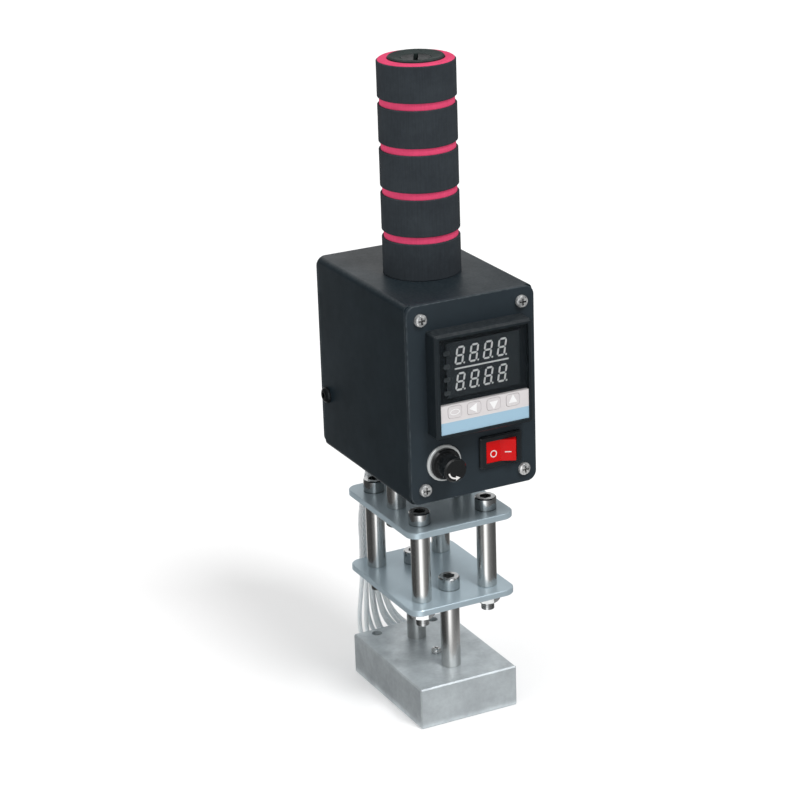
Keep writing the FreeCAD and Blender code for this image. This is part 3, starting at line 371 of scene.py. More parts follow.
@cache
def braid_relief() -> bpy.types.NodeTree:
    """Makes the relief of two families of threads that cross on a tube's own map."""
    graph, given, result = effect("braid_relief", {
        "Vector": SocketKind.VECTOR,
        "Along": 30.0,
        "Around": 5.0,
    }, "Height")
    place = graph.split(given["Vector"])
    along = graph.times(place[0], graph.times(given["Along"], math.tau))
    around = graph.times(place[1], graph.times(given["Around"], math.tau))
    waves = []
    for operation in ("ADD", "SUBTRACT"):
        wave = graph.math("SINE", graph.math(operation, along, around))
        waves.append(graph.math("ABSOLUTE", wave))
    graph.fill(result["Height"], graph.math("MAXIMUM", *waves))
    return graph.tree


# Finishes

@dataclass(frozen=True)
class Finish:
    """A hard surface with two tones, relief, edges lightened by rubbing and painted highlight, flecks of
    dusting and painted light on upward faces, and painted shade in recesses.

    Attributes:
        name: The material's name.
        colour: The main tone.
        tone: The second tone, which clouds the main one.
        roughness: The middle roughness.
        metallic: 1 for bare metal.
        specular: The strength of plain gloss.
        coat: The strength of a clear coat.
        alpha: How solid the surface is.
        transmission: How much light goes through, as in glass.
        anisotropy: How far turned or drawn metal spreads its highlights.
        draw_axis: The direction in which it spreads them.
        tone_scale: Clouds per metre.
        contrast: The strength of the clouding.
        uneven_gloss: How far the roughness follows the clouds.
        grain_scale: Grains per metre.
        grain_stretch: The grain's scale along each axis.
        grain_depth: The height of the relief, in metres.
        grain_strength: The strength of the relief.
        worn_and_lit: The colour of an edge, from rubbing and from a painted highlight.
        wear_and_highlight: How much of the edges is lightened by rubbing and painted highlight.
        wear_and_highlight_radius: How far the lightened edge reaches.
        dust_and_top_light: How much the faces that face up are flecked, by dusting and by painted light
            from above.
        recess_shade: How dark the painted shade in recesses and inner corners is.
        recess_shade_reach: How far the painted shade reaches out of them.
        subsurface: How much light spreads inside the material.
        sheen: How much loose fibre stands out of it.
    """

    name: str
    colour: Colour
    tone: Colour
    roughness: float
    metallic: float = 0.0
    specular: float = 0.5
    coat: float = 0.0
    alpha: float = 1.0
    transmission: float = 0.0
    anisotropy: float = 0.0
    draw_axis: Point = (0.0, 0.0, 1.0)
    tone_scale: float = 120.0
    contrast: float = 1.0
    uneven_gloss: float = 0.08
    grain_scale: float = 2600.0
    grain_stretch: Point = (1.0, 1.0, 1.0)
    grain_depth: float = 0.02 * MM
    grain_strength: float = 0.35
    worn_and_lit: Colour = (0.5, 0.5, 0.5)
    wear_and_highlight: float = 0.0
    wear_and_highlight_radius: float = 0.35 * MM
    dust_and_top_light: float = 0.0
    recess_shade: float = 0.0
    recess_shade_reach: float = 0.7 * MM
    subsurface: float = 0.0
    sheen: float = 0.0

    # Colour of the flecks on upward faces: settled dusting, and painted light from above
    DUST_AND_TOP_LIGHT_COLOUR: ClassVar[Colour] = (0.40, 0.42, 0.43)
    DUST_ROUGHNESS: ClassVar[float] = 0.3
    # Dark colour of the painted shade in recesses, also the colour of the foam's drawn lines
    SHADE_AND_LINE_COLOUR: ClassVar[Colour] = (0.016, 0.017, 0.018)
    SCATTER_COLOUR: ClassVar[Colour] = (1.0, 1.0, 1.0)
    SCATTER_DEPTH: ClassVar[float] = 1.2 * MM

    def coordinates(self, graph: Graph) -> bpy.types.NodeSocket:
        """Gives the place that every pattern of this finish reads."""
        return graph.add("ShaderNodeTexCoord").outputs["Object"]

    def tint(self, graph: Graph, place: bpy.types.NodeSocket,
             clouds: bpy.types.NodeSocket) -> bpy.types.NodeSocket:
        """Gives the colour before wear and dust."""
        return graph.blend(clouds, self.colour, self.tone)

    def relief(self, graph: Graph, place: bpy.types.NodeSocket) -> bpy.types.NodeSocket:
        """Gives the height of the relief, 0 to 1."""
        return graph.place_group(fine_grain(), {
            "Vector": place, "Stretch": self.grain_stretch, "Scale": self.grain_scale,
        }).outputs["Height"]

    def material(self) -> bpy.types.Material:
        """Makes the material, or gives the one that this finish has made.

        Returns:
            The material.
        """
        known = bpy.data.materials.get(self.name)
        if known is not None:
            return known
        material, graph = new_material(self.name)
        place = self.coordinates(graph)
        clouds = graph.place_group(clouding(), {
            "Vector": place, "Scale": self.tone_scale, "Contrast": self.contrast,
        }).outputs["Value"]
        colour = self.tint(graph, place, clouds)
        rough = graph.remap(clouds, 0.0, 1.0, self.roughness - self.uneven_gloss,
                            self.roughness + self.uneven_gloss)
        # Lighter edges: rubbing, and a painted highlight where the surface turns
        if self.wear_and_highlight:
            rubbed_and_lit = graph.place_group(edge_wear_and_highlight(), {
                "Vector": place, "Radius": self.wear_and_highlight_radius, "Amount": self.wear_and_highlight,
            }).outputs["Mask"]
            colour = graph.blend(rubbed_and_lit, colour, self.worn_and_lit)
        # Flecks on upward faces: settled dusting, and painted light from above on the tops
        if self.dust_and_top_light:
            dusty_and_lit = graph.place_group(settled_dust_and_top_light(), {
                "Vector": place, "Amount": self.dust_and_top_light,
            }).outputs["Mask"]
            colour = graph.blend(dusty_and_lit, colour, self.DUST_AND_TOP_LIGHT_COLOUR)
            rough = graph.plus(rough, graph.times(dusty_and_lit, self.DUST_ROUGHNESS))
        # Painted shade: recesses and inner corners darkened by how shut in they are
        if self.recess_shade:
            shaded = graph.place_group(cavity_recess_shade(), {
                "Reach": self.recess_shade_reach, "Amount": self.recess_shade,
            }).outputs["Mask"]
            colour = graph.blend(shaded, colour, self.SHADE_AND_LINE_COLOUR)
        bump = graph.add("ShaderNodeBump", {
            "Strength": self.grain_strength, "Distance": self.grain_depth,
            "Height": self.relief(graph, place),
        })
        shader = graph.add("ShaderNodeBsdfPrincipled", {
            "Base Color": colour, "Roughness": rough, "Metallic": self.metallic,
            "Specular IOR Level": self.specular, "Coat Weight": self.coat, "Alpha": self.alpha,
            "Transmission Weight": self.transmission, "Anisotropic": self.anisotropy,
            "Subsurface Weight": self.subsurface, "Subsurface Radius": self.SCATTER_COLOUR,
            "Subsurface Scale": self.SCATTER_DEPTH, "Sheen Weight": self.sheen,
            "Normal": bump.outputs[0],
        })
        if self.anisotropy:
            graph.fill(shader.inputs["Tangent"], graph.vector(*self.draw_axis))
        graph.add("ShaderNodeOutputMaterial", {"Surface": shader.outputs[0]})
        return material


@dataclass(frozen=True)
class FoamFinish(Finish):
    """Closed-cell foam: pores and a faint upright draw.

    Attributes:
        pore_scale: Pores per metre.
        drawn_tone: How dark the lines of the draw are.
    """

    pore_scale: float = 2400.0
    drawn_tone: float = 0.2

    LINE_STRETCH: ClassVar[Point] = (1.0, 1.0, 0.03)
    LINE_SCALE: ClassVar[float] = 1700.0
    LINE_SPAN: ClassVar[Pair] = (0.42, 0.62)
    PORE_SPAN: ClassVar[Pair] = (0.05, 0.5)
    PORE_SHARE: ClassVar[float] = 0.5
    DRAW_STRETCH: ClassVar[Point] = (1.0, 1.0, 0.12)

    def tint(self, graph: Graph, place: bpy.types.NodeSocket,
             clouds: bpy.types.NodeSocket) -> bpy.types.NodeSocket:
        """Gives the foam's colour, with faint upright lines."""
        drawn = graph.place_group(fine_grain(), {
            "Vector": place, "Stretch": self.LINE_STRETCH, "Scale": self.LINE_SCALE,
        }).outputs["Height"]
        lines = graph.times(graph.remap(drawn, *self.LINE_SPAN), self.drawn_tone)
        return graph.blend(lines, graph.blend(clouds, self.colour, self.tone), self.SHADE_AND_LINE_COLOUR)

    def relief(self, graph: Graph, place: bpy.types.NodeSocket) -> bpy.types.NodeSocket:
        """Gives the pores and the draw."""
        cells = graph.add("ShaderNodeTexVoronoi", {"Vector": place, "Scale": self.pore_scale})
        pores = graph.remap(cells.outputs["Distance"], *self.PORE_SPAN)
        drawn = graph.place_group(fine_grain(), {
            "Vector": place, "Stretch": self.DRAW_STRETCH, "Scale": self.grain_scale,
        }).outputs["Height"]
        return graph.shared(pores, drawn, self.PORE_SHARE)


@dataclass(frozen=True)
class BraidFinish(Finish):
    """Glass-fibre braid on a round lead, laid out on the lead's own map.

    Attributes:
        picks_along: Crossings of the threads along the lead.
        picks_around: Crossings of the threads round it.
        gap_shade: The painted shade between the threads.
    """

    picks_along: float = 30.0
    picks_around: float = 3.0
    gap_shade: Colour = (0.2, 0.21, 0.22)

    THREAD_SPAN: ClassVar[Pair] = (0.4, 0.85)

    def threads(self, graph: Graph) -> bpy.types.NodeSocket:
        """Gives the relief of the threads."""
        lead_map = graph.add("ShaderNodeTexCoord").outputs["UV"]
        return graph.place_group(braid_relief(), {
            "Vector": lead_map, "Along": self.picks_along, "Around": self.picks_around,
        }).outputs["Height"]

    def tint(self, graph: Graph, place: bpy.types.NodeSocket,
             clouds: bpy.types.NodeSocket) -> bpy.types.NodeSocket:
        """Gives the threads' colour, with painted shade in the gaps between them."""
        thread = graph.blend(clouds, self.colour, self.tone)
        raised = graph.remap(self.threads(graph), *self.THREAD_SPAN)
        # Painted shade between the threads
        return graph.blend(raised, self.gap_shade, thread)

    def relief(self, graph: Graph, place: bpy.types.NodeSocket) -> bpy.types.NodeSocket:
        """Gives the threads' relief."""
        return self.threads(graph)


@dataclass(frozen=True)
class OverlayFinish(Finish):
    """The printed strip under the keys: one colour above a level line, one below.

    Attributes:
        below: The colour below the line.
        border: The line's height.
        softness: How far the colours run into each other.
    """

    below: Colour = (0.3, 0.5, 0.65)
    border: float = 155.1 * MM
    softness: float = 0.05 * MM

    def tint(self, graph: Graph, place: bpy.types.NodeSocket,
             clouds: bpy.types.NodeSocket) -> bpy.types.NodeSocket:
        """Gives the two printed colours."""
        height = graph.split(place)[2]
        upper = graph.remap(height, self.border - self.softness, self.border + self.softness)
        return graph.blend(upper, self.below, graph.blend(clouds, self.colour, self.tone))


@dataclass(frozen=True)
class BoardFinish(Finish):
    """Lacquered circuit board with copper tracks under the lacquer.

    Attributes:
        track: The tracks' colour.
        track_scale: Tracks per metre.
    """

    track: Colour = (0.10, 0.32, 0.16)
    track_scale: float = 420.0

    TRACK_SPAN: ClassVar[Pair] = (0.34, 0.38)

    def tint(self, graph: Graph, place: bpy.types.NodeSocket,
             clouds: bpy.types.NodeSocket) -> bpy.types.NodeSocket:
        """Gives the lacquer and, in square steps, the tracks."""
        cells = graph.add("ShaderNodeTexVoronoi", {"Vector": place, "Scale": self.track_scale},
                          distance="CHEBYCHEV", feature="F1")
        lines = graph.remap(cells.outputs["Distance"], *self.TRACK_SPAN)
        return graph.blend(lines, graph.blend(clouds, self.colour, self.tone), self.track)


# In these finishes the edge colours also paint edge highlights, the flecks on upward faces also paint
# light from above, and the recess amounts paint shade
BLOCK_ALUMINIUM = Finish(
    "sanded_block_aluminium", shade(206, 214, 217), shade(183, 190, 194), 0.42, metallic=0.5,
    specular=0.3, tone_scale=100.0, grain_scale=1500.0, grain_stretch=(1.0, 0.12, 1.0),
    grain_strength=0.25, worn_and_lit=shade(228, 233, 236), wear_and_highlight=0.3, wear_and_highlight_radius=0.5 * MM, dust_and_top_light=0.06)
PLATE_ALUMINIUM = Finish(
    "satin_plate_aluminium", shade(182, 199, 208), shade(173, 190, 199), 0.3, metallic=0.4,
    specular=0.3, tone_scale=60.0, contrast=0.6, uneven_gloss=0.02, grain_scale=4200.0,
    grain_strength=0.05, worn_and_lit=shade(214, 229, 237), wear_and_highlight=0.3, wear_and_highlight_radius=0.25 * MM)
TURNED_STEEL = Finish(
    "turned_polished_steel", shade(222, 222, 220), shade(212, 212, 211), 0.24, metallic=1.0,
    anisotropy=0.3, tone_scale=40.0, contrast=0.4, uneven_gloss=0.01, grain_scale=3000.0,
    grain_stretch=(0.2, 0.2, 3.0), grain_strength=0.015, worn_and_lit=shade(230, 231, 231), wear_and_highlight=0.3)
SCREW_STEEL = Finish(
    "plated_screw_steel", shade(212, 214, 214), shade(184, 186, 187), 0.18, metallic=1.0,
    tone_scale=260.0, contrast=0.9, uneven_gloss=0.05, grain_strength=0.08,
    worn_and_lit=shade(226, 228, 228), wear_and_highlight=0.5, wear_and_highlight_radius=0.2 * MM, recess_shade=0.85,
    recess_shade_reach=1.0 * MM)
NUT_STEEL = Finish(
    "bright_nut_steel", shade(236, 238, 238), shade(214, 217, 217), 0.2, metallic=0.7,
    tone_scale=260.0, contrast=0.7, uneven_gloss=0.04, grain_strength=0.06,
    worn_and_lit=shade(246, 247, 247), wear_and_highlight=0.5, wear_and_highlight_radius=0.2 * MM, recess_shade=0.6,
    recess_shade_reach=0.8 * MM)
PANEL_SCREW_NICKEL = Finish(
    "bright_screw_nickel", shade(244, 245, 244), shade(128, 130, 132), 0.14, metallic=0.45,
    tone_scale=420.0, contrast=1.3, uneven_gloss=0.04, grain_scale=3000.0, grain_strength=0.3,
    worn_and_lit=shade(248, 248, 248), wear_and_highlight=0.6, wear_and_highlight_radius=0.15 * MM, recess_shade=0.95,
    recess_shade_reach=0.9 * MM)
FUSE_RING_METAL = Finish(
    "bright_ring_plating", shade(238, 241, 241), shade(226, 230, 230), 0.18, metallic=0.35,
    tone_scale=400.0, contrast=0.6, uneven_gloss=0.04, grain_scale=3000.0, grain_strength=0.06,
    worn_and_lit=shade(246, 247, 247), wear_and_highlight=0.4, wear_and_highlight_radius=0.15 * MM)
BLACKENED_STEEL = Finish(
    "blackened_screw_steel", shade(48, 52, 55), shade(38, 42, 44), 0.38, metallic=0.8,
    tone_scale=320.0, grain_strength=0.12, worn_and_lit=shade(96, 100, 102), wear_and_highlight=0.3,
    wear_and_highlight_radius=0.15 * MM, dust_and_top_light=0.04)
HEATER_STEEL = Finish(
    "heater_steel", shade(170, 164, 156), shade(120, 108, 96), 0.36, metallic=1.0,
    tone_scale=160.0, uneven_gloss=0.1, grain_stretch=(3.0, 0.3, 3.0), grain_strength=0.1)
TUBE_STEEL = Finish(
    "drawn_tube_steel", shade(186, 188, 190), shade(168, 170, 172), 0.3, metallic=1.0,
    grain_stretch=(3.0, 3.0, 0.2), grain_strength=0.1)
BLUED_STEEL = Finish(
    "blued_screw_steel", shade(62, 68, 70), shade(44, 48, 50), 0.34, metallic=1.0,
    tone_scale=320.0, grain_strength=0.12, worn_and_lit=shade(128, 130, 130), wear_and_highlight=0.45,
    wear_and_highlight_radius=0.2 * MM, dust_and_top_light=0.1)
BOX_PAINT = Finish(
    "black_box_paint", shade(27, 39, 46), shade(22, 33, 39), 0.42, specular=0.22,
    tone_scale=45.0, contrast=0.8, uneven_gloss=0.06, grain_scale=3400.0,
    grain_depth=0.03 * MM, grain_strength=0.3, worn_and_lit=shade(92, 100, 104), wear_and_highlight=0.75,
    wear_and_highlight_radius=0.45 * MM, dust_and_top_light=0.06)
PANEL_PAINT = Finish(
    "black_panel_paint", shade(42, 52, 59), shade(37, 46, 52), 0.46, specular=0.24,
    tone_scale=45.0, contrast=0.8, uneven_gloss=0.06, grain_scale=3400.0,
    grain_depth=0.03 * MM, grain_strength=0.3, worn_and_lit=shade(104, 112, 116), wear_and_highlight=0.85,
    wear_and_highlight_radius=0.5 * MM, dust_and_top_light=0.03)
BEZEL_PLASTIC = Finish(
    "fine_bezel_plastic", shade(30, 37, 42), shade(25, 32, 36), 0.46, specular=0.2,
    tone_scale=200.0, contrast=0.6, grain_scale=5200.0, grain_strength=0.15,
    worn_and_lit=shade(84, 94, 97), wear_and_highlight=0.5, wear_and_highlight_radius=0.3 * MM, dust_and_top_light=0.1)
BLACK_PLASTIC = Finish(
    "moulded_black_plastic", shade(28, 33, 35), shade(24, 28, 30), 0.4, specular=0.35,
    tone_scale=200.0, contrast=0.6, grain_scale=5000.0, grain_strength=0.2,
    worn_and_lit=shade(70, 76, 78), wear_and_highlight=0.35, wear_and_highlight_radius=0.3 * MM, dust_and_top_light=0.04)
SWITCH_PLASTIC = Finish(
    "switch_frame_plastic", shade(34, 38, 41), shade(29, 33, 36), 0.3, specular=0.3,
    tone_scale=200.0, contrast=0.5, uneven_gloss=0.04, grain_scale=3000.0, grain_strength=0.08,
    worn_and_lit=shade(104, 108, 110), wear_and_highlight=0.5, wear_and_highlight_radius=0.25 * MM, dust_and_top_light=0.05)
FUSE_PLASTIC = Finish(
    "gloss_fuse_plastic", shade(20, 22, 24), shade(16, 18, 19), 0.11, specular=0.6,
    tone_scale=200.0, contrast=0.5, uneven_gloss=0.03, grain_scale=3000.0, grain_strength=0.03,
    worn_and_lit=shade(120, 124, 126), wear_and_highlight=0.5, wear_and_highlight_radius=0.2 * MM)
CAP_PLASTIC = Finish(
    "dull_cap_plastic", shade(44, 54, 53), shade(36, 45, 44), 0.55, specular=0.2,
    tone_scale=160.0, grain_scale=2200.0, grain_strength=0.3, worn_and_lit=shade(92, 102, 100), wear_and_highlight=0.5,
    wear_and_highlight_radius=0.5 * MM, dust_and_top_light=0.05)
WINDOW = Finish(
    "smoked_display_window", shade(30, 35, 38), shade(27, 31, 34), 0.07, specular=0.16,
    alpha=0.14, uneven_gloss=0.01, grain_scale=800.0, grain_strength=0.01)
DISPLAY_FACE = Finish(
    "display_face_plastic", shade(51, 58, 62), shade(46, 52, 56), 0.6, specular=0.2,
    grain_scale=4000.0, grain_strength=0.1)
SEGMENT_LENS = Finish(
    "segment_lens", shade(240, 243, 243), shade(214, 218, 219), 0.5, specular=0.3,
    tone_scale=700.0, contrast=0.8, grain_scale=3000.0, grain_strength=0.1)
INDICATOR_LENS = Finish(
    "indicator_lens", shade(90, 98, 101), shade(76, 83, 86), 0.4, specular=0.3,
    tone_scale=700.0, grain_strength=0.1)
OVERLAY = OverlayFinish(
    "printed_key_overlay", shade(219, 215, 215), shade(212, 208, 209), 0.42, specular=0.3,
    tone_scale=150.0, contrast=0.6, grain_scale=4500.0, grain_strength=0.15,
    below=shade(160, 193, 213), dust_and_top_light=0.03)
KEY_PAD = Finish(
    "soft_key_pad", shade(217, 213, 213), shade(210, 206, 207), 0.46, specular=0.3,
    tone_scale=180.0, contrast=0.6, grain_scale=4500.0, grain_strength=0.18)
KEY_PRINT = Finish(
    "key_symbol_print", shade(246, 246, 246), shade(238, 238, 238), 0.4, specular=0.3,
    tone_scale=400.0, contrast=0.5, grain_strength=0.1)
WHITE_PRINT = Finish(
    "white_symbol_print", shade(238, 236, 234), shade(222, 220, 218), 0.4, specular=0.3,
    tone_scale=900.0, contrast=0.8, grain_strength=0.1)
CIRCUIT_BOARD = BoardFinish(
    "lacquered_circuit_board", shade(34, 92, 58), shade(28, 80, 50), 0.3, coat=0.3,
    grain_strength=0.1)
BRASS = Finish(
    "contact_brass", shade(206, 178, 116), shade(176, 148, 92), 0.3, metallic=1.0,
    tone_scale=300.0, grain_strength=0.15, worn_and_lit=shade(226, 204, 150), wear_and_highlight=0.4)
RED_PLASTIC = Finish(
    "gloss_red_plastic", shade(214, 14, 17), shade(198, 10, 13), 0.24, specular=0.16,
    tone_scale=150.0, contrast=0.6, uneven_gloss=0.04, grain_scale=2000.0, grain_strength=0.04,
    worn_and_lit=shade(236, 90, 84), wear_and_highlight=0.3, wear_and_highlight_radius=0.25 * MM)
FUSE_GLASS = Finish(
    "fuse_glass", shade(226, 232, 232), shade(218, 225, 225), 0.04, transmission=0.9,
    grain_strength=0.02)
RED_FOAM = FoamFinish(
    "red_grip_foam", shade(234, 80, 121), shade(220, 70, 110), 0.9, specular=0.12,
    tone_scale=140.0, contrast=0.7, grain_scale=1800.0, grain_depth=0.1 * MM,
    grain_strength=0.5, drawn_tone=0.06)
BLACK_FOAM = FoamFinish(
    "black_grip_foam", shade(55, 61, 66), shade(47, 52, 57), 0.92, specular=0.12,
    tone_scale=90.0, contrast=0.8, grain_scale=1600.0, grain_depth=0.12 * MM,
    grain_strength=0.6, worn_and_lit=shade(84, 90, 96), wear_and_highlight=0.35, wear_and_highlight_radius=0.5 * MM, dust_and_top_light=0.05)
BLACK_RUBBER = Finish(
    "grommet_rubber", shade(30, 31, 32), shade(24, 25, 26), 0.7, specular=0.3,
    grain_scale=2200.0, grain_strength=0.3, dust_and_top_light=0.06)
LEAD_BRAID = BraidFinish(
    "lead_glass_braid", shade(248, 253, 255), shade(234, 242, 246), 0.5, tone_scale=500.0,
    contrast=0.7, grain_depth=0.14 * MM, grain_strength=0.6, subsurface=0.8, sheen=0.8,
    gap_shade=shade(186, 196, 202))
SLEEVE_THREAD = Finish(
    "sleeve_glass_thread", shade(248, 253, 255), shade(236, 244, 248), 0.5, tone_scale=600.0,
    contrast=0.8, grain_scale=5000.0, grain_stretch=(3.0, 3.0, 0.4), grain_strength=0.4,
    subsurface=0.6, sheen=0.8)
SLEEVE_BUNDLE = Finish(
    "sleeve_bundle", shade(238, 243, 245), shade(222, 228, 231), 0.7, specular=0.25,
    tone_scale=500.0, grain_scale=2500.0, grain_stretch=(3.0, 3.0, 0.3), grain_strength=0.5)
PALE_PLASTIC = Finish(
    "terminal_plastic", shade(222, 218, 208), shade(208, 203, 192), 0.45,
    grain_scale=3000.0, grain_strength=0.2)
WIRE_SHEATH = Finish(
    "wire_sheath", shade(72, 72, 76), shade(60, 60, 64), 0.38,
    grain_scale=2500.0, grain_strength=0.15)


# Building and placing pieces

def new_object(name: str, data: bpy.types.ID) -> bpy.types.Object:
    """Makes an object from a mesh, curve, lamp or camera and puts it in the scene."""
    made = bpy.data.objects.new(name, data)
    bpy.context.scene.collection.objects.link(made)
    return made


def dress(finishes: Mapping[str, Finish]) -> None:
    """Gives carried-over nodes their finish.

    Args:
        finishes: The finish of each node, by the node's name.
    """
    for name, finish in finishes.items():
        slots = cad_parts[name].data.materials
        for index in range(len(slots)):
            slots[index] = finish.material()
        log.info("%s wears %s", name, finish.name)


def settle(name: str, mesh: bpy.types.Mesh, finish: Finish, body: Body,
           replaces: Sequence[str] = ()) -> bpy.types.Object:
    """Makes a mesh a piece of the machine.

    Args:
        name: The piece's name.
        mesh: Its mesh, in place.
        finish: Its finish.
        body: The body that it moves with.
        replaces: The nodes that it stands for.

    Returns:
        The piece.
    """
    mesh.name = name
    mesh.materials.clear()
    mesh.materials.append(finish.material())
    piece = new_object(name, mesh)
    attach(piece, body.value)
    if replaces:
        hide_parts(*replaces)
    log.info("%s: %d faces, rides on %s", name, len(mesh.polygons), body.value)
    return piece


def grow(name: str, tree: bpy.types.NodeTree, values: Mapping[str, Any],
         base: bpy.types.Mesh | None = None) -> bpy.types.Mesh:
    """Runs a Geometry Nodes tree and keeps what it makes as a plain mesh.

    Args:
        name: The name of the mesh.
        tree: The tree.
        values: What its named inputs get.
        base: The mesh that goes in as its geometry.

    Returns:
        The plain mesh.
    """
    holder = new_object(name, base or bpy.data.meshes.new(name))
    modifier = holder.modifiers.new(name, "NODES")
    modifier.node_group = tree
    for item in tree.interface.items_tree:
        if item.in_out == "INPUT" and item.name in values:
            modifier[item.identifier] = values[item.name]
    view = bpy.context.evaluated_depsgraph_get()
    mesh = bpy.data.meshes.new_from_object(holder.evaluated_get(view), depsgraph=view)
    holder.modifiers.remove(modifier)
    bpy.data.objects.remove(holder)
    return mesh


def facing_front(x: float, y: float, z: float) -> Matrix:
    """Places local X across, local Y up and local Z out of the front panel."""
    return Matrix.Translation((x, y, z)) @ Matrix.Rotation(math.radians(90), 4, "X")


def finished_mesh(name: str, shape: bmesh.types.BMesh, place: Matrix) -> bpy.types.Mesh:
    """Closes a shape's building: merged, outward and in place.

    Args:
        name: The mesh's name.
        shape: The shape, which is freed.
        place: Where it goes.

    Returns:
        The mesh.
    """
    bmesh.ops.remove_doubles(shape, verts=shape.verts, dist=MERGE_DISTANCE)
    bmesh.ops.recalc_face_normals(shape, faces=shape.faces)
    mesh = bpy.data.meshes.new(name)
    shape.to_mesh(mesh)
    shape.free()
    mesh.transform(place)
    return mesh


def settle_print(name: str, shape: bmesh.types.BMesh, place: Matrix, finish: Finish, body: Body) -> None:
    """Makes a flat shape a print on the machine.

    Args:
        name: The piece's name.
        shape: The shape, which is freed.
        place: Where it goes.
        finish: Its finish.
        body: The body that it moves with.
    """
    settle(name, finished_mesh(name, shape, place), finish, body)


def add_wall(shape: bmesh.types.BMesh, first: Sequence[bmesh.types.BMVert],
             second: Sequence[bmesh.types.BMVert]) -> None:
    """Joins two rings of corners, in the same order, by a wall of quads."""
    for index in range(len(first)):
        after = (index + 1) % len(first)
        shape.faces.new((first[index], first[after], second[after], second[index]))


def add_plate(shape: bmesh.types.BMesh, outline: Sequence[Pair]) -> None:
    """Adds a flat plate on Z = 0 that is as thick as print.

    Args:
        shape: The shape that gets it.
        outline: Its corners, counter-clockwise.
    """
    low = [shape.verts.new((x, y, 0.0)) for x, y in outline]
    high = [shape.verts.new((x, y, PRINT_THICKNESS)) for x, y in outline]
    shape.faces.new(list(reversed(low)))
    shape.faces.new(high)
    add_wall(shape, low, high)


def add_ribbon(shape: bmesh.types.BMesh, centres: Sequence[Pair], width: float,
               closed: bool) -> None:
    """Adds a flat ribbon of even width along a line on Z = 0, as thick as print.

    Args:
        shape: The shape that gets it.
        centres: The points of its middle line.
        width: Its width.
        closed: Whether the line comes back to its start.
    """
    rings = []
    count = len(centres)
    for index, (x, y) in enumerate(centres):
        before = centres[index - 1 if closed or index else index]
        after = centres[(index + 1) % count if closed or index + 1 < count else index]
        run = Vector((after[0] - before[0], after[1] - before[1])).normalized() * width / 2
        rings.append([shape.verts.new((x + side * run.y, y - side * run.x, height))
                      for side, height in ((1, 0.0), (1, PRINT_THICKNESS), (-1, PRINT_THICKNESS),
                                           (-1, 0.0))])
    for index in range(count if closed else count - 1):
        add_wall(shape, rings[index], rings[(index + 1) % count])
    if not closed:
        shape.faces.new(rings[0])
        shape.faces.new(list(reversed(rings[-1])))


def arc(radius: float, start: float, end: float, steps: int) -> list[Pair]:
    """Gives points on an arc round the origin, with its angles in degrees."""
    angles = [math.radians(start + (end - start) * step / steps) for step in range(steps + 1)]
    return [(radius * math.cos(angle), radius * math.sin(angle)) for angle in angles]


def smooth_sides(mesh: bpy.types.Mesh) -> None:
    """Shades round faces smoothly and keeps the edges that turn further than SHARP_ANGLE."""
    mesh.shade_smooth()
    mesh.set_sharp_from_angle(angle=math.radians(SHARP_ANGLE))


def route_curve(name: str, points: Sequence[Point], diameter: float = 0.0) -> bpy.types.Object:
    """Makes one smooth open line through a route.

    Args:
        name: The curve's name.
        points: The route's control points.
        diameter: The thickness of the cord on it, or 0 for a bare line.

    Returns:
        The curve, linked to the scene.
    """
    data = bpy.data.curves.new(name, "CURVE")
    data.dimensions = "3D"
    data.resolution_u = 10
    data.bevel_depth = diameter / 2
    data.bevel_resolution = 4
    data.use_fill_caps = True
    spline = data.splines.new("NURBS")
    spline.points.add(len(points) - 1)
    for place, point in zip(spline.points, points):
        place.co = (*point, 1.0)
    spline.order_u = 3
    spline.use_endpoint_u = True
    return new_object(name, data)


def centreline(name: str, points: Sequence[Point]) -> bpy.types.Mesh:
    """Gives the middle line of a route as a mesh of points and edges."""
    curve = route_curve(name, points)
    view = bpy.context.evaluated_depsgraph_get()
    mesh = bpy.data.meshes.new_from_object(curve.evaluated_get(view), depsgraph=view)
    bpy.data.objects.remove(curve)
    return mesh


class SubAssembly(ABC):
    """A group of pieces that is dressed and detailed together."""

    finishes: ClassVar[Mapping[str, Finish]] = {}

    def build(self) -> None:
        """Dresses the carried-over nodes and adds the modelled pieces."""
        log.info("building the %s", type(self).__name__)
        dress(self.finishes)
        self.add_pieces()

    @abstractmethod
    def add_pieces(self) -> None:
        """Adds what this sub-assembly models itself."""


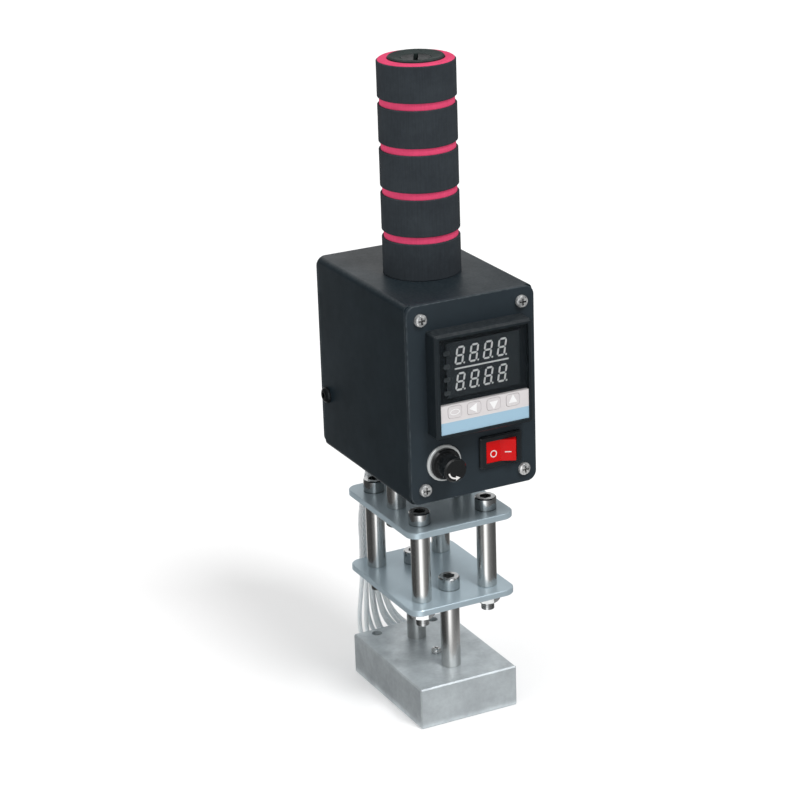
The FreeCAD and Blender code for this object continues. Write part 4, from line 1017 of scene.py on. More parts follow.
@dataclass
class LeadHarness(SubAssembly):
    """The heater and sensor leads, and the braided sleeve that takes them to the box."""

    lead_diameter: float = 0.0021
    lead_lengths: tuple[float, ...] = (0.0594, 0.0571, 0.0599, 0.0579, 0.0647, 0.0611, 0.0639,
                                       0.0643, 0.0670)
    lead_routes: tuple[tuple[Point, ...], ...] = (
        ((-0.0163, 0.0330, 0.0090), (-0.0163, 0.0392, 0.0090), (-0.0160, 0.0450, 0.0118),
         (-0.0155, 0.0481, 0.0166), (-0.0157, 0.0474, 0.0237), (-0.0161, 0.0452, 0.0305),
         (-0.0166, 0.0426, 0.0373), (-0.0169, 0.0406, 0.0440), (-0.0170, 0.0398, 0.0510),
         (-0.0170, 0.0398, 0.0570)),
        ((-0.0137, 0.0330, 0.0090), (-0.0137, 0.0382, 0.0090), (-0.0135, 0.0427, 0.0116),
         (-0.0131, 0.0453, 0.0161), (-0.0136, 0.0445, 0.0231), (-0.0143, 0.0425, 0.0301),
         (-0.0152, 0.0402, 0.0370), (-0.0157, 0.0382, 0.0440), (-0.0158, 0.0374, 0.0510),
         (-0.0158, 0.0374, 0.0570)),
        ((-0.0078, 0.0330, 0.0090), (-0.0078, 0.0392, 0.0090), (-0.0085, 0.0450, 0.0118),
         (-0.0097, 0.0481, 0.0166), (-0.0114, 0.0474, 0.0237), (-0.0126, 0.0452, 0.0305),
         (-0.0137, 0.0426, 0.0373), (-0.0145, 0.0406, 0.0440), (-0.0147, 0.0398, 0.0510),
         (-0.0147, 0.0398, 0.0570)),
        ((-0.0052, 0.0330, 0.0090), (-0.0052, 0.0382, 0.0090), (-0.0060, 0.0427, 0.0115),
         (-0.0073, 0.0453, 0.0160), (-0.0092, 0.0445, 0.0230), (-0.0108, 0.0425, 0.0301),
         (-0.0123, 0.0402, 0.0370), (-0.0132, 0.0382, 0.0440), (-0.0136, 0.0374, 0.0510),
         (-0.0136, 0.0374, 0.0570)),
        ((0.0000, 0.0330, 0.0055), (0.0000, 0.0392, 0.0055), (-0.0016, 0.0450, 0.0078),
         (-0.0041, 0.0481, 0.0128), (-0.0066, 0.0474, 0.0208), (-0.0086, 0.0452, 0.0285),
         (-0.0105, 0.0426, 0.0359), (-0.0119, 0.0406, 0.0433), (-0.0124, 0.0398, 0.0510),
         (-0.0124, 0.0398, 0.0570)),
        ((0.0052, 0.0330, 0.0090), (0.0052, 0.0382, 0.0090), (0.0028, 0.0427, 0.0106),
         (-0.0009, 0.0453, 0.0146), (-0.0048, 0.0445, 0.0223), (-0.0072, 0.0425, 0.0301),
         (-0.0094, 0.0402, 0.0370), (-0.0108, 0.0382, 0.0440), (-0.0112, 0.0374, 0.0510),
         (-0.0112, 0.0374, 0.0570)),
        ((0.0078, 0.0330, 0.0090), (0.0078, 0.0392, 0.0090), (0.0054, 0.0450, 0.0108),
         (0.0015, 0.0481, 0.0150), (-0.0029, 0.0474, 0.0228), (-0.0056, 0.0452, 0.0305),
         (-0.0080, 0.0426, 0.0373), (-0.0096, 0.0406, 0.0440), (-0.0101, 0.0398, 0.0510),
         (-0.0101, 0.0398, 0.0570)),
        ((0.0137, 0.0330, 0.0090), (0.0137, 0.0382, 0.0090), (0.0103, 0.0427, 0.0102),
         (0.0049, 0.0453, 0.0139), (-0.0004, 0.0445, 0.0219), (-0.0037, 0.0425, 0.0301),
         (-0.0065, 0.0402, 0.0370), (-0.0084, 0.0382, 0.0440), (-0.0090, 0.0374, 0.0510),
         (-0.0090, 0.0374, 0.0570)),
        ((0.0163, 0.0330, 0.0090), (0.0163, 0.0392, 0.0090), (0.0128, 0.0450, 0.0104),
         (0.0073, 0.0481, 0.0144), (0.0014, 0.0474, 0.0225), (-0.0021, 0.0452, 0.0305),
         (-0.0051, 0.0426, 0.0373), (-0.0071, 0.0406, 0.0440), (-0.0078, 0.0398, 0.0510),
         (-0.0078, 0.0398, 0.0570)),
    )
    sleeve_route: tuple[Point, ...] = (
        (-0.0124, 0.0386, 0.0570), (-0.0124, 0.0386, 0.0660), (-0.0125, 0.0387, 0.0760),
        (-0.0112, 0.0386, 0.0860), (-0.0090, 0.0383, 0.0950), (-0.0074, 0.0378, 0.1050),
        (-0.0070, 0.0372, 0.1150), (-0.0070, 0.0372, 0.1228))
    sleeve_width: float = 12.0 * MM
    sleeve_thickness: float = 5.0 * MM
    sleeve_inset: float = 0.35 * MM
    side_flatness: float = 1.6
    lobe_pitch: float = 2.3 * MM
    lobe_depth: float = 0.45 * MM
    thread_diameter: float = 0.5 * MM
    thread_count: int = 22
    thread_turns: float = 1.0
    thread_steps: int = 170
    weave_depth: float = 0.14 * MM
    bundle_inset: float = 0.55 * MM
    bundle_sides: int = 72

    def add_pieces(self) -> None:
        """Adds the leads, the sleeve's braid and the bundle inside it."""
        for number, (route, length) in enumerate(zip(self.lead_routes, self.lead_lengths), 1):
            self.add_lead(number, route, length)
        self.add_braid()
        self.add_bundle()

    def add_lead(self, number: int, route: Sequence[Point], length: float) -> None:
        """Adds one lead.

        Args:
            number: Its number, from the left.
            route: Its control points.
            length: Its real length.
        """
        lead = route_curve("lead_%d" % number, route, self.lead_diameter)
        lead.data.materials.append(LEAD_BRAID.material())
        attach(lead, Body.MACHINE.value)
        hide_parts("block_leads")
        log.info("%s: %.1f mm long", lead.name, length / MM)

    def outline(self, angle: float, inset: float) -> Pair:
        """Gives the sleeve's cross-section at an angle.

        Args:
            angle: The angle round the sleeve, in radians.
            inset: How far inside the sleeve's full size.

        Returns:
            The offset from the middle line, across and deep.
        """
        radius = self.sleeve_thickness / 2 - inset
        reach = (self.sleeve_width - self.sleeve_thickness) / 2
        cosine = math.cos(angle)
        across = radius * cosine + reach * max(-1.0, min(1.0, self.side_flatness * cosine))
        valley = 0.5 - 0.5 * math.cos(2 * math.pi * across / self.lobe_pitch)
        return across, (radius - self.lobe_depth * valley) * math.sin(angle)

    def add_bundle(self) -> None:
        """Adds the leads' lobed bundle, which fills the braid."""
        line = centreline("sleeve_middle", self.sleeve_route)
        shape = bmesh.new()
        rings = []
        for vertex in line.vertices:
            ring = []
            for side in range(self.bundle_sides):
                angle = 2 * math.pi * side / self.bundle_sides
                across, deep = self.outline(angle, self.bundle_inset)
                ring.append(shape.verts.new(vertex.co + Vector((across, deep, 0.0))))
            rings.append(ring)
        for lower, upper in zip(rings, rings[1:]):
            add_wall(shape, lower, upper)
        shape.faces.new(list(reversed(rings[0])))
        shape.faces.new(rings[-1])
        bpy.data.meshes.remove(line)
        mesh = finished_mesh("sleeve_bundle", shape, Matrix.Identity(4))
        smooth_sides(mesh)
        settle("sleeve_bundle", mesh, SLEEVE_BUNDLE, Body.MACHINE)

    def braid_tree(self) -> bpy.types.NodeTree:
        """Makes the tree that winds threads both ways round a line and weaves them.

        Returns:
            The tree.
        """
        graph, given, result = new_tree("braid_threads", "GeometryNodeTree", {
            "Line": SocketKind.SHAPE,
            "Threads": 20,
            "Steps": 160,
            "Turns": 1.0,
            "Radius": 2.2 * MM,
            "Reach": 3.5 * MM,
            "Flatness": 1.6,
            "Lobe Pitch": 2.3 * MM,
            "Lobe Depth": 0.4 * MM,
            "Weave": 0.15 * MM,
            "Thread Radius": 0.25 * MM,
            "Material": SocketKind.MATERIAL,
        }, {"Braid": SocketKind.SHAPE})
        line = graph.add("GeometryNodeMeshToCurve", {0: given["Line"]}).outputs[0]
        stepped = graph.add("GeometryNodeResampleCurve", {"Curve": line, "Count": given["Steps"]})
        copies = graph.add("GeometryNodeDuplicateElements", {
            "Geometry": stepped.outputs[0], "Amount": given["Threads"],
        }, domain="SPLINE")
        along = graph.add("GeometryNodeSplineParameter").outputs["Factor"]
        start = graph.math("DIVIDE", copies.outputs["Duplicate Index"], given["Threads"])
        turned = graph.times(along, given["Turns"])
        crossings = graph.times(graph.times(turned, given["Threads"]), math.tau)
        over_under = graph.times(graph.math("COSINE", crossings), given["Weave"])
        profile = graph.add("GeometryNodeCurvePrimitiveCircle", {
            "Resolution": 5, "Radius": given["Thread Radius"],
        }).outputs[0]
        families = []
        for winding in ("ADD", "SUBTRACT"):
            angle = graph.times(graph.math(winding, start, turned), math.tau)
            radius = graph.math(winding, given["Radius"], over_under)
            cosine = graph.math("COSINE", angle)
            flat = graph.times(cosine, given["Flatness"])
            held = graph.math("MAXIMUM", graph.math("MINIMUM", flat, 1.0), -1.0)
            across = graph.plus(graph.times(radius, cosine), graph.times(given["Reach"], held))
            lobes = graph.math("DIVIDE", across, given["Lobe Pitch"])
            wave = graph.math("COSINE", graph.times(lobes, math.tau))
            valley = graph.minus(0.5, graph.times(wave, 0.5))
            depth = graph.minus(radius, graph.times(given["Lobe Depth"], valley))
            deep = graph.times(depth, graph.math("SINE", angle))
            threads = graph.add("GeometryNodeSetPosition", {
                "Geometry": copies.outputs["Geometry"], "Offset": graph.vector(across, deep, 0.0),
            })
            tubes = graph.add("GeometryNodeCurveToMesh", {
                "Curve": threads.outputs[0], "Profile Curve": profile, "Fill Caps": True,
            })
            families.append(tubes.outputs[0])
        joined = graph.add("GeometryNodeJoinGeometry")
        for tubes in families:
            graph.tree.links.new(tubes, joined.inputs[0])
        graph.deliver(result["Braid"], joined.outputs[0], given["Material"])
        return graph.tree

    def add_braid(self) -> None:
        """Adds the sleeve's threads."""
        mesh = grow("sleeve_braid", self.braid_tree(), {
            "Threads": self.thread_count, "Steps": self.thread_steps, "Turns": self.thread_turns,
            "Radius": self.sleeve_thickness / 2 - self.sleeve_inset,
            "Reach": (self.sleeve_width - self.sleeve_thickness) / 2,
            "Flatness": self.side_flatness,
            "Lobe Pitch": self.lobe_pitch, "Lobe Depth": self.lobe_depth,
            "Weave": self.weave_depth, "Thread Radius": self.thread_diameter / 2,
            "Material": SLEEVE_THREAD.material(),
        }, centreline("sleeve_line", self.sleeve_route))
        mesh.shade_smooth()
        settle("sleeve_braid", mesh, SLEEVE_THREAD, Body.MACHINE,
               ("lead_sleeve",))


@dataclass
class HeatedBlock(SubAssembly):
    """The sanded block with its heaters, sensor and locking screws."""

    finishes: ClassVar[Mapping[str, Finish]] = {
        "heating_block": BLOCK_ALUMINIUM,
        "cartridge_heaters": HEATER_STEEL,
        "sensor_probe": HEATER_STEEL,
        "block_screws": NUT_STEEL,
    }

    def add_pieces(self) -> None:
        """Adds nothing: the block's own shapes are whole."""


@dataclass
class PillarFrame(SubAssembly):
    """The pillars, the two plates and the fasteners that hold them."""

    finishes: ClassVar[Mapping[str, Finish]] = {
        "lower_pillar_front": TURNED_STEEL,
        "lower_pillar_rear": TURNED_STEEL,
        "spacer_front_left": TURNED_STEEL,
        "spacer_front_right": TURNED_STEEL,
        "spacer_rear_left": TURNED_STEEL,
        "spacer_rear_right": TURNED_STEEL,
        "upper_pillar_left": TURNED_STEEL,
        "upper_pillar_right": TURNED_STEEL,
        "lower_plate": PLATE_ALUMINIUM,
        "upper_plate": PLATE_ALUMINIUM,
        "corner_screws": SCREW_STEEL,
        "lower_pillar_screws": SCREW_STEEL,
        "upper_pillar_screws": SCREW_STEEL,
        "hex_nuts": NUT_STEEL,
    }
    screw_x: float = 17.0 * MM
    screw_y: float = 23.0 * MM
    tip_bottom: float = 47.2 * MM
    thread_radius: float = 3.0 * MM
    thread_pitch: float = 0.9 * MM
    thread_turns: float = 4.0
    thread_height: float = 0.28 * MM

    def thread_tree(self) -> bpy.types.NodeTree:
        """Makes the tree that winds a screw thread at each given point.

        Returns:
            The tree.
        """
        graph, given, result = new_tree("screw_threads", "GeometryNodeTree", {
            "Tips": SocketKind.SHAPE,
            "Radius": 3.0 * MM,
            "Pitch": 1.0 * MM,
            "Turns": 4.0,
            "Crest": 0.3 * MM,
            "Material": SocketKind.MATERIAL,
        }, {"Threads": SocketKind.SHAPE})
        spiral = graph.add("GeometryNodeCurveSpiral", {
            "Resolution": 36, "Rotations": given["Turns"], "Start Radius": given["Radius"],
            "End Radius": given["Radius"],
            "Height": graph.times(given["Turns"], given["Pitch"]),
        })
        profile = graph.add("GeometryNodeCurvePrimitiveCircle", {
            "Resolution": 4, "Radius": given["Crest"],
        })
        ridge = graph.add("GeometryNodeCurveToMesh", {
            "Curve": spiral.outputs[0], "Profile Curve": profile.outputs[0], "Fill Caps": True,
        })
        placed = graph.add("GeometryNodeInstanceOnPoints", {
            "Points": given["Tips"], "Instance": ridge.outputs[0],
        })
        graph.deliver(result["Threads"], placed.outputs[0], given["Material"])
        return graph.tree

    def add_pieces(self) -> None:
        """Adds the threads on the corner screws' tips, under the nuts."""
        tips = bpy.data.meshes.new("screw_tips")
        tips.from_pydata([(side * self.screw_x, end * self.screw_y, self.tip_bottom)
                          for side in (-1, 1) for end in (-1, 1)], [], [])
        mesh = grow("screw_threads", self.thread_tree(), {
            "Radius": self.thread_radius - self.thread_height / 2, "Pitch": self.thread_pitch,
            "Turns": self.thread_turns, "Crest": self.thread_height,
            "Material": SCREW_STEEL.material(),
        }, tips)
        settle("screw_threads", mesh, SCREW_STEEL, Body.MACHINE)


@dataclass
class ControlBox(SubAssembly):
    """The painted box with its panels, and what is fixed to them."""

    finishes: ClassVar[Mapping[str, Finish]] = {
        "box_shell": BOX_PAINT,
        "front_panel": PANEL_PAINT,
        "rear_panel": PANEL_PAINT,
        "panel_screws": PANEL_SCREW_NICKEL,
        "earth_screw": BLACKENED_STEEL,
        "earth_nut": SCREW_STEEL,
        "cord_gland": BLACK_PLASTIC,
        "gland_nut": BLACK_PLASTIC,
        "lead_grommet": BLACK_RUBBER,
        "terminal_strip": PALE_PLASTIC,
        "terminal_screws": BRASS,
        "electrical_contacts": BRASS,
        "inner_wires": WIRE_SHEATH,
    }
    gland_x: float = 12.0 * MM
    gland_z: float = 141.8 * MM
    rib_start: float = 50.0 * MM
    rib_length: float = 6.5 * MM
    rib_circle: float = 6.95 * MM
    rib_radius: float = 0.42 * MM
    rib_count: int = 18

    def rib_tree(self) -> bpy.types.NodeTree:
        """Makes the tree that sets round-ended ribs on a circle.

        Returns:
            The tree.
        """
        graph, given, result = new_tree("gland_ribs", "GeometryNodeTree", {
            "Count": 18,
            "Circle": 7.0 * MM,
            "Radius": 0.4 * MM,
            "Length": 6.0 * MM,
            "Material": SocketKind.MATERIAL,
        }, {"Ribs": SocketKind.SHAPE})
        ring = graph.add("GeometryNodeMeshCircle", {
            "Vertices": given["Count"], "Radius": given["Circle"],
        }, fill_type="NONE")
        ball = graph.add("GeometryNodeMeshUVSphere", {
            "Segments": 10, "Rings": 6, "Radius": given["Radius"],
        })
        upper = graph.math("GREATER_THAN", graph.position()[2], 0.0)
        lift = graph.vector(0.0, 0.0, graph.times(upper, given["Length"]))
        rib = graph.add("GeometryNodeSetPosition", {
            "Geometry": ball.outputs["Mesh"], "Offset": lift,
        })
        placed = graph.add("GeometryNodeInstanceOnPoints", {
            "Points": ring.outputs[0], "Instance": rib.outputs[0],
        })
        graph.deliver(result["Ribs"], placed.outputs[0], given["Material"])
        return graph.tree

    def add_pieces(self) -> None:
        """Adds the finger ribs of the gland's cap nut."""
        mesh = grow("gland_ribs", self.rib_tree(), {
            "Count": self.rib_count, "Circle": self.rib_circle, "Radius": self.rib_radius,
            "Length": self.rib_length, "Material": BLACK_PLASTIC.material(),
        })
        mesh.transform(Matrix.Translation((self.gland_x, self.rib_start, self.gland_z))
                       @ Matrix.Rotation(math.radians(-90), 4, "X"))
        mesh.shade_smooth()
        settle("gland_ribs", mesh, BLACK_PLASTIC, Body.MACHINE)


@dataclass
class Controller(SubAssembly):
    """The temperature controller: bezel, display, printed strip and soft keys."""

    finishes: ClassVar[Mapping[str, Finish]] = {
        "controller_bezel": BEZEL_PLASTIC,
        "controller_housing": BLACK_PLASTIC,
        "controller_clamp": BLACK_PLASTIC,
        "controller_terminals": BLACK_PLASTIC,
        "controller_circuit": CIRCUIT_BOARD,
        "display_module": DISPLAY_FACE,
        "display_window": WINDOW,
        "key_strip": OVERLAY,
        "key_set": KEY_PAD,
        "key_left": KEY_PAD,
        "key_down": KEY_PAD,
        "key_up": KEY_PAD,
    }
    centre_x: float = 1.5 * MM
    centre_z: float = 171.4 * MM
    module_face_y: float = -52.6 * MM
    window_back_y: float = -52.8 * MM
    key_face_y: float = -53.6 * MM
    digit_columns: int = 4
    digit_rows: int = 2
    digit_width: float = 3.3 * MM
    digit_height: float = 7.35 * MM
    stroke: float = 0.86 * MM
    segment_gap: float = 0.18 * MM
    digit_slant: float = 0.17
    digit_pitch: float = 6.9 * MM
    row_pitch: float = 11.95 * MM
    rows_x: float = -1.05 * MM
    rows_z: float = 7.2 * MM
    dot_radius: float = 0.42 * MM
    dot_offset: float = 1.0 * MM
    divider_z: float = 7.3 * MM
    divider_start: float = -14.0 * MM
    divider_end: float = 12.5 * MM
    divider_height: float = 0.7 * MM
    indicator_x: float = -17.9 * MM
    indicator_heights: tuple[float, ...] = (15.1 * MM, 9.0 * MM, 3.1 * MM, -3.1 * MM)
    indicator_size: Pair = (3.2 * MM, 2.3 * MM)
    indicator_corner: float = 0.4
    corner_steps: int = 4
    key_z: float = -11.9 * MM
    key_centres: tuple[float, ...] = (-15.0 * MM, -5.5 * MM, 4.2 * MM, 13.8 * MM)
    oval_reach: Pair = (2.2 * MM, 1.2 * MM)
    oval_stroke: float = 0.28 * MM
    oval_steps: int = 36
    arrow_size: float = 4.3 * MM
    arrow_reach: float = 1.15

    def digit_tree(self) -> bpy.types.NodeTree:
        """Makes the tree that sets rows of slanted seven-segment digits.

        Returns:
            The tree.
        """
        graph, given, result = new_tree("digit_rows", "GeometryNodeTree", {
            "Segment": SocketKind.SHAPE,
            "Width": 3.3 * MM,
            "Height": 7.4 * MM,
            "Slant": 0.17,
            "Columns": 4,
            "Rows": 2,
            "Column Pitch": 6.9 * MM,
            "Row Pitch": 12.0 * MM,
            "Dot Radius": 0.4 * MM,
            "Dot Offset": 1.0 * MM,
            "Thickness": 0.05 * MM,
            "Material": SocketKind.MATERIAL,
        }, {"Digits": SocketKind.SHAPE})
        half_height = graph.times(given["Height"], 0.5)
        half_width = graph.times(given["Width"], 0.5)
        low = graph.times(half_height, -1.0)
        uprights = graph.add("GeometryNodeMeshGrid", {
            "Size X": given["Width"], "Size Y": half_height, "Vertices X": 2, "Vertices Y": 2,
        })
        levels = graph.add("GeometryNodeMeshLine", {
            "Count": 3, "Start Location": graph.vector(0.0, low, 0.0),
            "Offset": graph.vector(0.0, half_height, 0.0),
        })
        longer = graph.vector(graph.math("DIVIDE", half_height, given["Width"]), 1.0, 1.0)
        standing = graph.add("GeometryNodeInstanceOnPoints", {
            "Points": uprights.outputs[0], "Instance": given["Segment"],
            "Rotation": (0.0, 0.0, math.pi / 2), "Scale": longer,
        })
        lying = graph.add("GeometryNodeInstanceOnPoints", {
            "Points": levels.outputs[0], "Instance": given["Segment"],
        })
        dot = graph.add("GeometryNodeMeshCylinder", {
            "Vertices": 14, "Radius": given["Dot Radius"], "Depth": given["Thickness"],
        })
        dot_place = graph.vector(graph.plus(half_width, given["Dot Offset"]), low,
                                 graph.times(given["Thickness"], 0.5))
        placed_dot = graph.add("GeometryNodeTransform", {
            "Geometry": dot.outputs["Mesh"], "Translation": dot_place,
        })
        joined = graph.add("GeometryNodeJoinGeometry")
        for part in (standing, lying, placed_dot):
            graph.tree.links.new(part.outputs[0], joined.inputs[0])
        digit = graph.add("GeometryNodeRealizeInstances", {0: joined.outputs[0]}).outputs[0]
        lean = graph.vector(graph.times(graph.position()[1], given["Slant"]), 0.0, 0.0)
        slanted = graph.add("GeometryNodeSetPosition", {
            "Geometry": digit, "Offset": lean,
        }).outputs[0]
        across = graph.times(given["Column Pitch"], graph.minus(given["Columns"], 1.0))
        upward = graph.times(given["Row Pitch"], graph.minus(given["Rows"], 1.0))
        places = graph.add("GeometryNodeMeshGrid", {
            "Size X": across, "Size Y": upward, "Vertices X": given["Columns"],
            "Vertices Y": given["Rows"],
        })
        placed = graph.add("GeometryNodeInstanceOnPoints", {
            "Points": places.outputs[0], "Instance": slanted,
        })
        graph.deliver(result["Digits"], placed.outputs[0], given["Material"])
        return graph.tree

    def segment(self) -> bpy.types.Mesh:
        """Makes one segment: a flat bar that is pointed at both ends."""
        reach = self.digit_width / 2 - self.segment_gap
        half = self.stroke / 2
        shape = bmesh.new()
        add_plate(shape, [(-reach, 0.0), (half - reach, -half), (reach - half, -half),
                          (reach, 0.0), (reach - half, half), (half - reach, half)])
        return finished_mesh("segment", shape, Matrix.Identity(4))

    def on_controller(self, x: float, y: float, z: float) -> Matrix:
        """Places a flat piece on the controller's face, measured from its centre."""
        return facing_front(self.centre_x + x, y, self.centre_z + z)

    def add_pieces(self) -> None:
        """Adds the digits, the divider, the indicators and the key symbols."""
        self.add_digits()
        self.add_divider()
        self.add_indicators()
        self.add_key_symbols()

    def add_digits(self) -> None:
        """Adds the two rows of digits on the display's face."""
        mesh = grow("display_digits", self.digit_tree(), {
            "Width": self.digit_width, "Height": self.digit_height, "Slant": self.digit_slant,
            "Columns": self.digit_columns, "Rows": self.digit_rows,
            "Column Pitch": self.digit_pitch, "Row Pitch": self.row_pitch,
            "Dot Radius": self.dot_radius, "Dot Offset": self.dot_offset,
            "Thickness": PRINT_THICKNESS, "Material": SEGMENT_LENS.material(),
        }, self.segment())
        mesh.transform(self.on_controller(self.rows_x, self.module_face_y, self.rows_z))
        settle("display_digits", mesh, SEGMENT_LENS, Body.MACHINE)

    def add_divider(self) -> None:
        """Adds the line between the two rows."""
        shape = bmesh.new()
        half = self.divider_height / 2
        add_plate(shape, [(self.divider_start, -half), (self.divider_end, -half),
                          (self.divider_end, half), (self.divider_start, half)])
        place = self.on_controller(0.0, self.module_face_y, self.divider_z)
        settle_print("display_divider", shape, place, SEGMENT_LENS, Body.MACHINE)

    def add_indicators(self) -> None:
        """Adds the four unlit indicators, printed on the back of the window."""
        shape = bmesh.new()
        width, height = self.indicator_size
        corner = height * self.indicator_corner
        for level in self.indicator_heights:
            outline = []
            for turn, side, end in ((0, 1, 1), (90, -1, 1), (180, -1, -1), (270, 1, -1)):
                for x, y in arc(corner, turn, turn + 90, self.corner_steps):
                    outline.append((x + side * (width / 2 - corner),
                                    y + level + end * (height / 2 - corner)))
            add_plate(shape, outline)
        place = self.on_controller(self.indicator_x, self.window_back_y + PRINT_THICKNESS, 0.0)
        settle_print("display_indicators", shape, place, INDICATOR_LENS, Body.MACHINE)

    def add_key_symbols(self) -> None:
        """Adds a plain oval on the first key and an arrow on each of the others."""
        shape = bmesh.new()
        angles = [math.tau * step / self.oval_steps for step in range(self.oval_steps)]
        oval = [(self.oval_reach[0] * math.cos(angle), self.oval_reach[1] * math.sin(angle))
                for angle in angles]
        add_ribbon(shape, oval, self.oval_stroke, closed=True)
        place = self.on_controller(self.key_centres[0], self.key_face_y, self.key_z)
        settle_print("set_symbol", shape, place, KEY_PRINT, Body.SET_KEY)
        turns = ((Body.LEFT_KEY, 180), (Body.DOWN_KEY, 270), (Body.UP_KEY, 90))
        for (body, turn), x in zip(turns, self.key_centres[1:]):
            shape = bmesh.new()
            # Three corners, a third of a turn apart
            add_plate(shape, arc(self.arrow_size / 2 * self.arrow_reach, turn, turn + 240, 2))
            place = self.on_controller(x, self.key_face_y, self.key_z)
            settle_print(body.value.replace("key", "symbol"), shape, place, KEY_PRINT, body)


@dataclass
class RockerSwitch(SubAssembly):
    """The mains switch with its red rocker."""

    finishes: ClassVar[Mapping[str, Finish]] = {
        "switch_housing": SWITCH_PLASTIC,
        "switch_rocker": RED_PLASTIC,
        "rocker_pin": SCREW_STEEL,
    }
    centre_x: float = 12.9 * MM
    centre_z: float = 134.0 * MM
    panel_y: float = -45.0 * MM
    valley_x: float = -0.498 * MM
    valley_lift: float = 1.399 * MM
    raised_slope: float = 28.0
    ring_x: float = -3.9 * MM
    ring_radius: float = 1.45 * MM
    ring_z: float = -1.0 * MM
    ring_steps: int = 40
    line_run: float = 3.5 * MM
    line_length: float = 2.9 * MM
    line_z: float = -0.8 * MM
    stroke: float = 0.45 * MM

    def add_pieces(self) -> None:
        """Adds the ring on the pressed half and the line on the raised half."""
        face = facing_front(self.centre_x, self.panel_y, self.centre_z)
        shape = bmesh.new()
        circle = arc(self.ring_radius, 0, 360, self.ring_steps)[:-1]
        add_ribbon(shape, circle, self.stroke, closed=True)
        place = face @ Matrix.Translation((self.ring_x, self.ring_z, self.valley_lift))
        settle_print("off_symbol", shape, place, WHITE_PRINT, Body.ROCKER)
        shape = bmesh.new()
        reach = self.line_length / 2
        add_ribbon(shape, [(-reach, 0.0), (reach, 0.0)], self.stroke, closed=False)
        place = (face @ Matrix.Translation((self.valley_x, 0.0, self.valley_lift))
                 @ Matrix.Rotation(math.radians(-self.raised_slope), 4, "Y")
                 @ Matrix.Translation((self.line_run, self.line_z, 0.0)))
        settle_print("on_symbol", shape, place, WHITE_PRINT, Body.ROCKER)


@dataclass
class FuseHolder(SubAssembly):
    """The fuse holder on the panel, with its ribbed cap."""

    finishes: ClassVar[Mapping[str, Finish]] = {
        "fuse_ring": FUSE_RING_METAL,
        "fuse_body": FUSE_PLASTIC,
        "fuse_nut": FUSE_PLASTIC,
        "fuse_cap": FUSE_PLASTIC,
        "fuse_link": FUSE_GLASS,
    }
    centre_x: float = -15.3 * MM
    centre_z: float = 133.5 * MM
    cap_face_y: float = -56.66 * MM
    arrow_radius: float = 3.5 * MM
    arrow_start: float = 192.0
    arrow_end: float = 268.0
    arrow_steps: int = 20
    stroke: float = 0.7 * MM
    head_length: float = 2.1 * MM
    head_width: float = 2.3 * MM

    def add_pieces(self) -> None:
        """Adds the turning arrow on the cap's end."""
        shape = bmesh.new()
        line = arc(self.arrow_radius, self.arrow_start, self.arrow_end, self.arrow_steps)
        add_ribbon(shape, line, self.stroke, closed=False)
        end = Vector(line[-1])
        out = end.normalized()
        along = Vector((-out.y, out.x))
        corners = (end - out * self.head_width / 2, end + along * self.head_length,
                   end + out * self.head_width / 2)
        add_plate(shape, [tuple(corner) for corner in reversed(corners)])
        place = facing_front(self.centre_x, self.cap_face_y, self.centre_z)
        settle_print("turn_arrow", shape, place, WHITE_PRINT, Body.FUSE_CAP)


